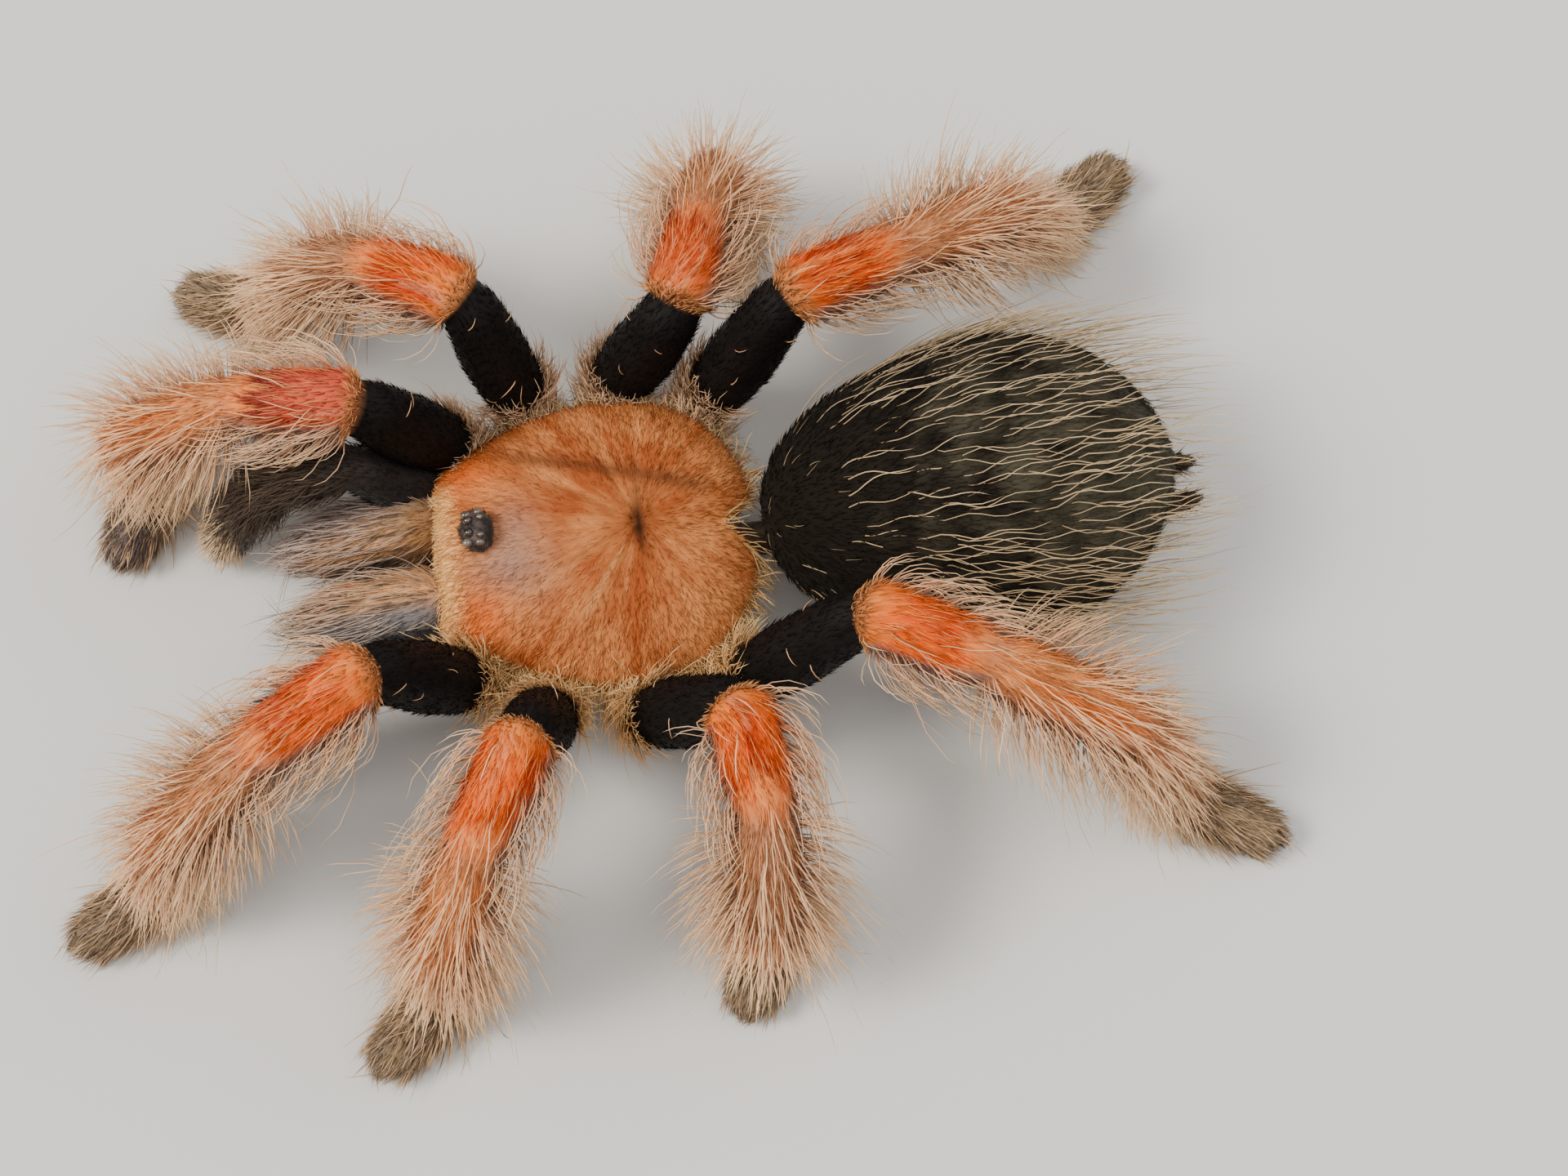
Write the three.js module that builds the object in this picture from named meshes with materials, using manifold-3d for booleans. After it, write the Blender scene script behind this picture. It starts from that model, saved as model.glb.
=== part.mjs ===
// A red knee tarantula at life size, standing still with its knees drawn in.
// Millimetres, +Z up. The head looks along -Y and the animal's left side is +X. The feet stand at z = 0.
import * as THREE from "three";
import { mergeVertices } from "three/addons/utils/BufferGeometryUtils.js";
import Module from "manifold-3d";

const wasm = await Module();
wasm.setup();

// ---------------------------------------------------------------- driving dimensions

const GAP = 0.3; // between neighbouring pieces
const LEFT = 1;
const RIGHT = -1;
const SIDES = { left: LEFT, right: RIGHT };

// The front body: a domed shield over a block of sternum and leg bases.
const SHIELD = { halfWidth: 10.4, front: -11.3, rear: 10.7, rim: 8.8, edge: 0.7, dome: 3.9, notch: 2.0 };
const STERNUM = { y: 0.2, halfWidth: 7.2, halfLength: 8.8, low: 3.8, high: 8.5 };

// The hind body: an egg lying on its side, held just clear of the ground.
const ABDOMEN = {
  centre: [-0.8, 25.3, 10.1],
  halfWidth: 10.4,
  halfLength: 14.6,
  halfHeight: 9.2,
  fullness: 0.16,
  turn: 3,
};

// The waist runs into the sternum in front and the abdomen behind.
const PEDICEL = { radius: 1.3, z: 6.8, inFront: 0.6, behind: 2.4, sides: 12 };

// Where each limb leaves the front body, on the left side: out to the side, then back from the middle.
const HIP_Z = 6.6;
const HIPS = { 1: [8.4, -9.2], 2: [11.4, -4.4], 3: [12.0, 1.8], 4: [10.4, 8.2], palp: [5.2, -10.8] };

// A leg base leaves the sternum at these shares of its hip's place, thinner there than at the hip.
const COXA = { fromX: 0.3, fromY: 0.45, rootR: 1.5, hipR: 2.05, reach: 1.85, sides: 8 };

// Segment lengths from the hip outwards: femur, patella, tibia, metatarsus, tarsus. A palp has no metatarsus.
const LENGTHS = {
  1: [13.6, 9.0, 10.6, 7.8, 6.6],
  2: [12.4, 8.2, 9.2, 7.4, 6.4],
  3: [11.4, 7.6, 8.4, 8.4, 6.2],
  4: [13.8, 8.4, 11.2, 11.2, 6.8],
  palp: [7.8, 5.2, 5.8, 5.6],
};

// Half-thickness of each segment at its start, middle and end, under the long coat.
const GIRTHS = {
  femur: [2.2, 2.7, 2.3],
  patella: [2.1, 2.35, 2.15],
  tibia: [2.1, 2.2, 2.0],
  metatarsus: [1.8, 1.85, 1.7],
  tarsus: [1.7, 1.9, 1.6],
};
const PALP_GIRTH = 0.82; // palps are this much thinner than legs
const NARROWING = 0.92; // a limb is a little narrower than it is deep
const LIMB_FACETS = 8;
const THICKEST = 0.45; // the share of a segment's length at which its middle girth is reached
const OVERRUN = 1.05; // how far a segment runs past its ends before the joint cuts, in middle girths

// A foot's outline: how far along it each girth lies, and its rounded toe.
const FOOT = { middle: 0.4, last: 0.82, toe: 1.02, toeGirth: 0.6, tip: 1.06 };

// The long coat, in flat tapered locks. A row on a limb segment sits at a share of its length, with a lock on
// the middle of each facet named. Facets are counted from the middle of the back towards the across axis.
const LIMB_LOCKS = {
  patella: [
    { at: 0.24, facets: [1, 3, 6], length: 4.4 },
    { at: 0.55, facets: [2, 4, 7], length: 5.2 },
    { at: 0.86, facets: [0, 2, 5, 6], length: 5.2 },
  ],
  tibia: [
    { at: 0.2, facets: [1, 3, 5, 7], length: 5.6 },
    { at: 0.53, facets: [0, 2, 4, 6], length: 6.0 },
    { at: 0.86, facets: [1, 5, 7], length: 5.2 },
  ],
  metatarsus: [
    { at: 0.2, facets: [0, 2, 4, 6], length: 5.2 },
    { at: 0.52, facets: [1, 3, 7], length: 4.6 },
    { at: 0.8, facets: [2, 6], length: 3.6 },
  ],
  tarsus: [{ at: 0.3, facets: [1, 6], length: 2.8 }],
};
const PALP_LOCKS = {
  patella: [{ at: 0.6, facets: [0, 2, 5], length: 2.8 }],
  tibia: [
    { at: 0.25, facets: [1, 3, 6], length: 3.2 },
    { at: 0.7, facets: [0, 2, 5], length: 3.4 },
  ],
  tarsus: [{ at: 0.3, facets: [1, 3, 6], length: 3.0 }],
};
const LIMB_LOCK = { width: 2.1, thickness: 0.6, rise: 48, fall: 18 };

// On the abdomen and the jaws a row sits at a place from -1 in front to 1 behind. Its locks stand every step
// degrees round the body, up to span each way from the middle of the back, shifted in every other row. rise
// and fall are the angles of a lock over the surface at root and tip, turning it straight back at the rear.
const ABDOMEN_LOCKS = [
  { at: -0.5, span: 100, step: 30, length: 6.4, rise: 22, fall: -8 },
  { at: -0.12, span: 115, step: 26, length: 7.6, rise: 24, fall: -3 },
  { at: 0.28, span: 130, step: 26, length: 8.2, rise: 28, fall: 6 },
  { at: 0.62, span: 140, step: 30, length: 7.8, rise: 38, fall: 22 },
  { at: 0.86, span: 145, step: 36, length: 6.4, rise: 54, fall: 40 },
];
const ABDOMEN_LOCK = { width: 3.3, thickness: 0.7 };
const JAW_LOCKS = [
  { at: 0.05, span: 95, step: 51, length: 4.4, rise: 30, fall: 2 },
  { at: 0.62, span: 115, step: 51, length: 4.6, rise: 30, fall: 2 },
];
const JAW_LOCK = { width: 1.9, thickness: 0.6 };

const LOCK_SINK = 1.0; // how far a lock's root is sunk, measured along the lock
const LOCK_BEND = 0.5; // the share of a lock at which it bends and is widest
const LOCK_ROOT = 0.55; // the width of a lock's sunk root against its widest
const LOCK_TRIES = [1, 0.75, 0.5]; // the shares of its length at which a lock is tried beside its neighbours
const LOCK_TURN = 24; // the spread of the way a lock lies, in degrees
const LOCK_VARIETY = 0.14; // how much a lock's length varies each way
const ROW_VARIETY = 0.08; // the spread of a lock's place along its limb segment
const FLOOR_CLEARANCE = 0.25;
const SEED = 20417;

// How each leg stands. yaw is the heading of each segment from straight ahead, out towards its own side, and
// pitch is the slope of femur, patella and tibia, both in degrees. The metatarsus then slopes as it must to
// set the ankle at ANKLE_Z, and where tucked is true it leans back in under the knee.
const ANKLE_Z = 2.0;
const TOE_Z = 1.5;
const STANCE = {
  left: {
    1: { yaw: [22, 28, 25, 26, 30], pitch: [62, -12, -42], tucked: false },
    2: { yaw: [76, 60, 56, 52, 46], pitch: [68, -8, -56], tucked: false },
    3: { yaw: [158, 98, 84, 76, 68], pitch: [54, -2, -42], tucked: true },
    4: { yaw: [184, 154, 155, 154, 150], pitch: [52, -5, -24], tucked: false },
  },
  right: {
    1: { yaw: [-12, 16, 4, -30, -62], pitch: [66, -20, -36], tucked: true },
    2: { yaw: [48, 34, 26, 22, 18], pitch: [70, -20, -46], tucked: false },
    3: { yaw: [166, 105, 106, 108, 106], pitch: [63, -18, -40], tucked: true },
    4: { yaw: [164, 156, 150, 142, 142], pitch: [64, -14, -28], tucked: false },
  },
};
const PALP_STANCE = {
  left: { yaw: [32, 15, 10, 16], pitch: [26, -20, -55] },
  right: { yaw: [6, 0, -4, -6], pitch: [50, -12, -56] },
};

// The jaws: two thick basal segments side by side, each with a fang folded back below. blunt is the power by
// which a jaw rounds off towards its root, where 2 makes an ellipse.
const JAW = {
  root: [2.75, -10.6, 8.0],
  length: 10.2,
  halfWidth: 2.55,
  halfHeight: 2.9,
  fullness: -0.1,
  blunt: 4,
  droop: 16,
};
const JAW_MIDDLE = 0.46; // the egg's middle and half-length, as shares of the jaw's length
const JAW_HALF_LENGTH = 0.56 * JAW.length;
const FANG = { from: 0.8, below: 0.7, length: 5.2, rootR: 0.95, taper: 0.85, curl: 60, lean: 46, sides: 8 };
const FANG_RINGS = 6;

// The eye mound on the front of the shield, with four pairs of eyes: out from the middle, forward, half-size.
const MOUND = { y: -7.9, raised: 0.35, halfWidth: 1.45, halfLength: 1.15, height: 1.0 };
const EYES = [
  { x: 0.42, y: -0.5, r: 0.34 },
  { x: 0.98, y: -0.62, r: 0.3 },
  { x: 1.05, y: 0.2, r: 0.26 },
  { x: 0.62, y: 0.3, r: 0.2 },
];

// Spinnerets: two tapering fingers that leave the abdomen at these shares of its half-length and half-height.
const SPINNERET = { x: 1.4, behind: 0.84, below: 0.55, length: 4.0, radii: [0.85, 0.8, 0.45], lift: 14 };

const COLOURS = {
  shield: 0xb8672c,
  underside: 0x33251c,
  eyes: 0x1c1512,
  jaws: 0x8a6a4c,
  fangs: 0x120d0b,
  femur: 0x120f0e,
  patella: 0xd8532c,
  tibia: 0xd39a72,
  metatarsus: 0xb9a294,
  tarsus: 0x77695a,
  palp: 0x2b231c,
  abdomen: 0x1b1712,
  spinneret: 0x2a2019,
};

// ---------------------------------------------------------------- solids

/** A closed geometry, placed by matrix, as a manifold-3d solid that faces out. */
function solidOf(geometry, matrix = new THREE.Matrix4()) {
  const bare = geometry.clone();
  bare.deleteAttribute("normal");
  bare.deleteAttribute("uv");
  bare.applyMatrix4(matrix);
  const merged = mergeVertices(bare, 1e-4);
  const corners = merged.index.array;
  const kept = [];
  for (let i = 0; i < corners.length; i += 3) {
    const [a, b, c] = corners.slice(i, i + 3);
    if (a !== b && b !== c && c !== a) kept.push(a, b, c);
  }
  const build = (triangles) =>
    new wasm.Manifold(
      new wasm.Mesh({
        numProp: 3,
        vertProperties: new Float32Array(merged.attributes.position.array),
        triVerts: new Uint32Array(triangles),
      }),
    );
  const made = build(kept);
  if (made.volume() > 0) return made;
  const turned = [];
  for (let i = 0; i < kept.length; i += 3) turned.push(kept[i], kept[i + 2], kept[i + 1]);
  return build(turned);
}

/** The largest closed surface of a solid, so that no scrap or sealed hollow stays. */
const largest = (solid) => solid.decompose().sort((a, b) => b.volume() - a.volume())[0];

const boxesMeet = (a, b) => {
  const p = a.boundingBox();
  const q = b.boundingBox();
  return [0, 1, 2].every((i) => p.min[i] < q.max[i] && q.min[i] < p.max[i]);
};

/** Keeps what lies past the plane through point, GAP / 2 beyond it, on the side that normal points to. */
const beyond = (solid, point, normal, margin) =>
  solid.trimByPlane(normal.toArray(), normal.dot(point) + GAP / 2 - margin);

const at = (x, y, z) => new THREE.Matrix4().makeTranslation(x, y, z);
const basisAt = ({ across, along, dorsal }, point) =>
  new THREE.Matrix4().makeBasis(across, along, dorsal).setPosition(point);

// ---------------------------------------------------------------- the chain of a limb

const radians = THREE.MathUtils.degToRad;

/** The unit axes of a segment: along it, out of its back, and across it. */
function axesOf(side, yaw, pitch) {
  const heading = new THREE.Vector3(side * Math.sin(radians(yaw)), -Math.cos(radians(yaw)), 0);
  const up = new THREE.Vector3(0, 0, 1);
  const slope = radians(pitch);
  const along = heading.clone().multiplyScalar(Math.cos(slope)).addScaledVector(up, Math.sin(slope));
  const dorsal = heading.clone().multiplyScalar(-Math.sin(slope)).addScaledVector(up, Math.cos(slope));
  const across = new THREE.Vector3().crossVectors(along, dorsal);
  return { along, dorsal, across };
}

/** The pitch that takes a segment of this length from height z down to height goal. */
function pitchTo(z, goal, length, tucked) {
  const slope = THREE.MathUtils.radToDeg(Math.asin(Math.min(1, (z - goal) / length)));
  return tucked ? slope - 180 : -slope;
}

/** A limb's segments from hip to toe, each with its start, end and axes. */
function chainOf(kind, sideName) {
  const side = SIDES[sideName];
  const palp = kind === "palp";
  const stance = palp ? PALP_STANCE[sideName] : STANCE[sideName][kind];
  const names = palp
    ? ["femur", "patella", "tibia", "tarsus"]
    : ["femur", "patella", "tibia", "metatarsus", "tarsus"];
  const [hipX, hipY] = HIPS[kind];
  let start = new THREE.Vector3(side * hipX, hipY, HIP_Z);
  return names.map((name, i) => {
    const length = LENGTHS[kind][i];
    const goal = name === "tarsus" ? TOE_Z : ANKLE_Z;
    const tucked = name === "metatarsus" && stance.tucked;
    const pitch = stance.pitch[i] ?? pitchTo(start.z, goal, length, tucked);
    const axes = axesOf(side, stance.yaw[i], pitch);
    const end = start.clone().addScaledVector(axes.along, length);
    const segment = { name, length, start, end, ...axes };
    start = end;
    return segment;
  });
}

/** A turned tube with these radii at its start, middle and end, run on past both ends by reach. */
function tube(length, [first, middle, last], reach, sides) {
  const profile = [
    [0, -reach],
    [first, -reach],
    [middle, length * THICKEST],
    [last, length + reach],
    [0, length + reach],
  ];
  return new THREE.LatheGeometry(profile.map(([r, y]) => new THREE.Vector2(r, y)), sides);
}

/** A turned foot: a tube that ends in a round toe. */
function foot(length, [first, middle, last], reach, sides) {
  const profile = [
    [0, -reach],
    [first, -reach],
    [middle, length * FOOT.middle],
    [last, length * FOOT.last],
    [last * FOOT.toeGirth, length * FOOT.toe],
    [0, length * FOOT.tip],
  ];
  return new THREE.LatheGeometry(profile.map(([r, y]) => new THREE.Vector2(r, y)), sides);
}

/** The plane in which two segments meet halves the bend between them. */
const jointNormal = (a, b) => a.clone().add(b).normalize();

/** One limb segment, with its ends cut along the joint planes and a foot cut flat on the ground. */
function segmentSolid(segment, before, after, girth, margin) {
  const radii = GIRTHS[segment.name].map((r) => r * girth + margin);
  const reach = radii[1] * OVERRUN;
  const shape = segment.name === "tarsus" ? foot : tube;
  const narrow = new THREE.Matrix4().makeScale(NARROWING, 1, 1);
  const matrix = basisAt(segment, segment.start).multiply(narrow);
  let solid = solidOf(shape(segment.length, radii, reach, LIMB_FACETS), matrix);
  solid = beyond(solid, segment.start, before, margin);
  if (after) solid = beyond(solid, segment.end, after.clone().negate(), margin);
  return solid.trimByPlane([0, 0, 1], 0);
}

// ---------------------------------------------------------------- the body

/** An egg: a ball stretched to three half-sizes, fuller towards its far end. blunt squares off its near end. */
function egg(halfWidth, halfLength, halfHeight, fullness, across, along, blunt = 2) {
  const ball = new THREE.SphereGeometry(1, across, along);
  const places = ball.attributes.position;
  for (let i = 0; i < places.count; i += 1) {
    const t = places.getY(i);
    const rounding = Math.max(1e-6, 1 - t * t);
    const near = t < 0 ? Math.sqrt((1 - (-t) ** blunt) / rounding) : 1;
    const swell = (1 + fullness * t * (1 - t * t)) * near;
    places.setXYZ(i, places.getX(i) * halfWidth * swell, t * halfLength, places.getZ(i) * halfHeight * swell);
  }
  return ball;
}

/** The shield's half-width, with s from -1 at its blunt front edge to 1 at its rear edge. */
function shieldHalfWidth(s) {
  const widest = 0.08;
  const share =
    s < widest
      ? 1 - 0.46 * ((widest - s) / (1 + widest)) ** 1.9
      : (1 - 0.9 * ((s - widest) / (1 - widest)) ** 2.7) ** 0.55;
  return SHIELD.halfWidth * share;
}

/** The rise of the shield's back over its rim, at u across (-1 to 1) and s along (-1 to 1). */
function shieldRise(u, s) {
  const arch = (1 - Math.abs(u) ** 2.3) ** 0.62;
  const ends = s < 0 ? (1 - s ** 8) ** 0.5 : (1 - s ** 2.6) ** 0.62;
  const head = 1 + 0.1 * Math.exp(-(((s + 0.55) / 0.3) ** 2) - (u / 0.55) ** 2);
  const pit = 0.5 * Math.exp(-((u / 0.14) ** 2) - ((s - 0.28) / 0.07) ** 2);
  return SHIELD.dome * arch * ends * head - pit;
}

/** The shield: a slab whose outline, domed back and notched rear edge follow the functions above. */
function shieldSolid(margin) {
  const slab = new THREE.BoxGeometry(2, 2, 2, 12, 14, 1);
  const places = slab.attributes.position;
  const halfLength = (SHIELD.rear - SHIELD.front) / 2;
  const middle = (SHIELD.rear + SHIELD.front) / 2;
  for (let i = 0; i < places.count; i += 1) {
    const u = places.getX(i);
    const s = places.getY(i);
    const notch = s > 0 ? SHIELD.notch * s ** 4 * Math.exp(-((u / 0.45) ** 2)) : 0;
    const stretch = 1 + margin / SHIELD.halfWidth;
    const x = u * shieldHalfWidth(s) * stretch;
    const y = middle + (halfLength * s - notch) * stretch;
    const top = SHIELD.rim + shieldRise(u, s) + margin;
    const bottom = SHIELD.rim - SHIELD.edge - margin;
    places.setXYZ(i, x, y, places.getZ(i) > 0 ? top : bottom);
  }
  return solidOf(slab);
}

const abdomenTurn = new THREE.Matrix4().makeRotationZ(radians(ABDOMEN.turn));

function abdomenSolid(margin) {
  const { halfWidth, halfLength, halfHeight, centre } = ABDOMEN;
  const shape = egg(halfWidth + margin, halfLength + margin, halfHeight + margin, ABDOMEN.fullness, 24, 14);
  return solidOf(shape, at(...centre).multiply(abdomenTurn));
}

/** The sternum block with the ten leg and palp bases that spread from it to the hips. */
function undersideSolid(chains, margin) {
  const middleZ = (STERNUM.high + STERNUM.low) / 2;
  const halfHeight = (STERNUM.high - STERNUM.low) / 2;
  const grow = (size) => size + margin;
  const block = egg(grow(STERNUM.halfWidth), grow(STERNUM.halfLength), grow(halfHeight), 0, 12, 8);
  let solid = solidOf(block, at(0, STERNUM.y, middleZ));
  for (const chain of chains) {
    const hip = chain[0].start;
    const inner = new THREE.Vector3(hip.x * COXA.fromX, hip.y * COXA.fromY, middleZ);
    const along = hip.clone().sub(inner).normalize();
    const across = new THREE.Vector3(-along.y, along.x, 0).normalize();
    const dorsal = new THREE.Vector3().crossVectors(across, along);
    const radii = [COXA.rootR, COXA.hipR, COXA.hipR].map(grow);
    const coxa = tube(hip.distanceTo(inner), radii, COXA.reach, COXA.sides);
    const piece = solidOf(coxa, basisAt({ across, along, dorsal }, inner));
    solid = solid.add(beyond(piece, hip, chain.hipNormal.clone().negate(), margin));
  }
  return solid;
}

/** The place of a jaw's egg: its middle, with its own Y forward and down along the jaw. */
function jawFrame(side) {
  const slope = axesOf(side, 0, -JAW.droop);
  const [x, y, z] = JAW.root;
  const middle = new THREE.Vector3(side * x, y, z).addScaledVector(slope.along, JAW.length * JAW_MIDDLE);
  return basisAt(slope, middle);
}

/** One jaw: a deep rounded block that droops forward. */
function jawSolid(side, margin) {
  const sizes = [JAW.halfWidth, JAW_HALF_LENGTH, JAW.halfHeight].map((size) => size + margin);
  return solidOf(egg(...sizes, JAW.fullness, 14, 9, JAW.blunt), jawFrame(side));
}

/** One fang: a horn that curls back beneath its jaw. */
function fangSolid(side, margin) {
  const slope = axesOf(side, 0, -JAW.droop);
  const [x, y, z] = JAW.root;
  const root = new THREE.Vector3(side * x, y, z)
    .addScaledVector(slope.along, JAW.length * FANG.from)
    .addScaledVector(slope.dorsal, -JAW.halfHeight * FANG.below);
  const corners = [];
  const place = root.clone();
  for (let i = 0; i < FANG_RINGS; i += 1) {
    const share = i / FANG_RINGS;
    const axes = axesOf(side, 180, FANG.curl * share - FANG.lean);
    const radius = FANG.rootR * (1 - share * FANG.taper) + margin;
    for (let k = 0; k < FANG.sides; k += 1) {
      const turn = (2 * Math.PI * k) / FANG.sides;
      const out = axes.dorsal.clone().multiplyScalar(Math.cos(turn));
      out.addScaledVector(axes.across, Math.sin(turn));
      corners.push(place.clone().addScaledVector(out, radius));
    }
    place.addScaledVector(axes.along, FANG.length / FANG_RINGS);
  }
  return skinned(corners, FANG_RINGS, FANG.sides, root, place);
}

/** Rings of corners closed into one solid, with a point at each end. */
function skinned(corners, rings, sides, first, last) {
  const points = [first, ...corners, last];
  const triangles = [];
  const id = (ring, k) => 1 + ring * sides + (k % sides);
  const tip = points.length - 1;
  for (let k = 0; k < sides; k += 1) {
    triangles.push(0, id(0, k + 1), id(0, k));
    triangles.push(tip, id(rings - 1, k), id(rings - 1, k + 1));
    for (let ring = 0; ring < rings - 1; ring += 1) {
      const [a, b, c, d] = [id(ring, k), id(ring, k + 1), id(ring + 1, k + 1), id(ring + 1, k)];
      triangles.push(a, b, c, a, c, d);
    }
  }
  const geometry = new THREE.BufferGeometry();
  const numbers = points.flatMap((p) => p.toArray());
  geometry.setAttribute("position", new THREE.Float32BufferAttribute(numbers, 3));
  geometry.setIndex(triangles);
  return solidOf(geometry);
}

/** The eye mound with its eight eyes. */
function moundSolid(margin) {
  const { halfWidth, halfLength, height } = MOUND;
  const s = THREE.MathUtils.mapLinear(MOUND.y, SHIELD.front, SHIELD.rear, -1, 1);
  const z = SHIELD.rim + shieldRise(0, s) + MOUND.raised;
  const sizes = [halfWidth, halfLength, height].map((size) => size + margin);
  let solid = solidOf(egg(...sizes, 0, 10, 6), at(0, MOUND.y, z));
  for (const side of [LEFT, RIGHT]) {
    for (const eye of EYES) {
      const share = 1 - (eye.x / halfWidth) ** 2 - (eye.y / halfLength) ** 2;
      const ball = new THREE.SphereGeometry(eye.r + margin, 6, 4);
      const rise = height * Math.sqrt(Math.max(0.02, share));
      solid = solid.add(solidOf(ball, at(side * eye.x, MOUND.y + eye.y, z + rise)));
    }
  }
  return solid;
}

/** One spinneret, pointing back and a little up from beneath the abdomen's end. */
function spinneretSolid(side, margin) {
  const axes = axesOf(side, 180, SPINNERET.lift);
  const radii = SPINNERET.radii.map((r) => r + margin);
  const root = new THREE.Vector3(
    side * SPINNERET.x,
    ABDOMEN.halfLength * SPINNERET.behind,
    -ABDOMEN.halfHeight * SPINNERET.below,
  );
  root.applyMatrix4(abdomenTurn).add(new THREE.Vector3(...ABDOMEN.centre));
  return solidOf(tube(SPINNERET.length, radii, 0.1, 8), basisAt(axes, root));
}

/** The short waist between sternum and abdomen. */
function pedicelSolid(margin) {
  const start = STERNUM.halfLength - PEDICEL.inFront;
  const end = ABDOMEN.centre[1] - ABDOMEN.halfLength + PEDICEL.behind;
  const radius = PEDICEL.radius + margin;
  const rod = new THREE.CylinderGeometry(radius, radius, end - start, PEDICEL.sides);
  return solidOf(rod, at(0, (start + end) / 2, PEDICEL.z));
}

// ---------------------------------------------------------------- locks of hair

/** Numbers from 0 to 1 that come the same in every run. */
function seededRandom(seed) {
  let state = seed;
  return () => {
    state = (state + 0x6d2b79f5) | 0;
    let mixed = Math.imul(state ^ (state >>> 15), 1 | state);
    mixed = (mixed + Math.imul(mixed ^ (mixed >>> 7), 61 | mixed)) ^ mixed;
    return ((mixed ^ (mixed >>> 14)) >>> 0) / 4294967296;
  };
}

const random = seededRandom(SEED);

/**
 * One lock. It leaves the surface at point, between the surface's outward normal and the lie of the hair.
 * rise and fall are its angles over the surface at root and tip.
 */
function lockSolid({ point, out, lie, length, width, thickness, rise, fall }, margin) {
  const across = new THREE.Vector3().crossVectors(lie, out).normalize();
  const lean = (angle) =>
    lie.clone().multiplyScalar(Math.cos(radians(angle))).addScaledVector(out, Math.sin(radians(angle)));
  const corners = [];
  const whole = length + LOCK_SINK;
  const addRing = (middle, angle, share) => {
    const top = lean(angle + 90);
    const halfWidth = (width * share) / 2 + margin;
    const low = -(thickness * share) / 3 - margin;
    const high = (2 * thickness * share) / 3 + margin;
    corners.push(
      middle.clone().addScaledVector(across, halfWidth).addScaledVector(top, low),
      middle.clone().addScaledVector(across, -halfWidth).addScaledVector(top, low),
      middle.clone().addScaledVector(top, high),
    );
  };
  const root = point.clone().addScaledVector(lean(rise), -LOCK_SINK);
  addRing(root, rise, LOCK_ROOT);
  const bend = root.clone().addScaledVector(lean(rise), whole * LOCK_BEND);
  addRing(bend, (rise + fall) / 2, 1);
  const tip = bend.clone().addScaledVector(lean(fall), whole * (1 - LOCK_BEND) + margin);
  return skinned(corners, 2, 3, root, tip);
}

/** Half the thickness of a limb segment at a share of its length. */
function girthAt(name, share) {
  const [first, middle, last] = GIRTHS[name];
  return share < THICKEST
    ? THREE.MathUtils.mapLinear(share, 0, THICKEST, first, middle)
    : THREE.MathUtils.mapLinear(share, THICKEST, 1, middle, last);
}

/** The locks of a limb segment, row by row. */
function limbLocks(segment, rows, girth) {
  return rows.flatMap((row) =>
    row.facets.map((facet) => {
      const turn = (2 * Math.PI * (facet + 0.5)) / LIMB_FACETS;
      const share = row.at + ROW_VARIETY * (random() - 0.5);
      const radius = girth * girthAt(segment.name, share) * Math.cos(Math.PI / LIMB_FACETS);
      const out = segment.dorsal.clone().multiplyScalar(Math.cos(turn));
      out.addScaledVector(segment.across, NARROWING * Math.sin(turn));
      const point = segment.start.clone();
      point.addScaledVector(segment.along, share * segment.length).addScaledVector(out, radius);
      return lockOn(point, out.normalize(), segment.along, LIMB_LOCK, row.length);
    }),
  );
}

/** A lock's place and look, with its lie turned a little to one side and its length varied. */
function lockOn(point, out, lie, look, length) {
  const turned = lie.clone().applyAxisAngle(out, radians(LOCK_TURN * (random() - 0.5)));
  return { ...look, point, out, lie: turned, length: length * (1 + LOCK_VARIETY * (2 * random() - 1)) };
}

/**
 * Locks on an egg, row by row. The egg's own Y is the way the hair lies, and frame takes it to its place. Two
 * short steps on the egg, one back along it and one round it, give the lie and the outward normal there.
 */
function eggLocks(rows, look, [halfWidth, halfLength, halfHeight], fullness, frame) {
  const step = 0.02;
  const surface = (t, turn) => {
    const swell = (1 + fullness * t * (1 - t * t)) * Math.sqrt(1 - t * t);
    const [x, z] = [Math.sin(turn), Math.cos(turn)];
    return new THREE.Vector3(x * halfWidth * swell, t * halfLength, z * halfHeight * swell);
  };
  const lockAt = (row, turn) => {
    const point = surface(row.at, turn);
    const lie = surface(row.at + step, turn).sub(point).normalize();
    const round = surface(row.at, turn + step).sub(point);
    const out = round.cross(lie).normalize().transformDirection(frame);
    point.applyMatrix4(frame);
    const leaning = { ...look, rise: row.rise, fall: row.fall };
    return lockOn(point, out, lie.transformDirection(frame), leaning, row.length);
  };
  return rows.flatMap((row, index) => {
    const shift = index % 2 ? row.step / 4 : -row.step / 4;
    const locks = [];
    for (let angle = -180 + shift; angle < 180; angle += row.step) {
      if (Math.abs(angle) <= row.span) locks.push(lockAt(row, radians(angle)));
    }
    return locks;
  });
}

// ---------------------------------------------------------------- assembly

const cores = new Map(); // node name to its solid
const makers = new Map(); // node name to the function that makes it, grown by a margin
const slots = new Map(); // node name to its colour

/** Makes a node, cut back by GAP from every node placed before it but those it meets in a joint plane. */
function place(name, colour, make, joined = []) {
  let solid = make(0);
  for (const [other, makeOther] of makers) {
    if (joined.includes(other)) continue;
    const fat = makeOther(GAP);
    if (boxesMeet(solid, fat)) solid = solid.subtract(fat);
  }
  cores.set(name, largest(solid));
  makers.set(name, make);
  slots.set(name, colour);
}

const wanted = new Map(); // node name to the locks it should carry

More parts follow.
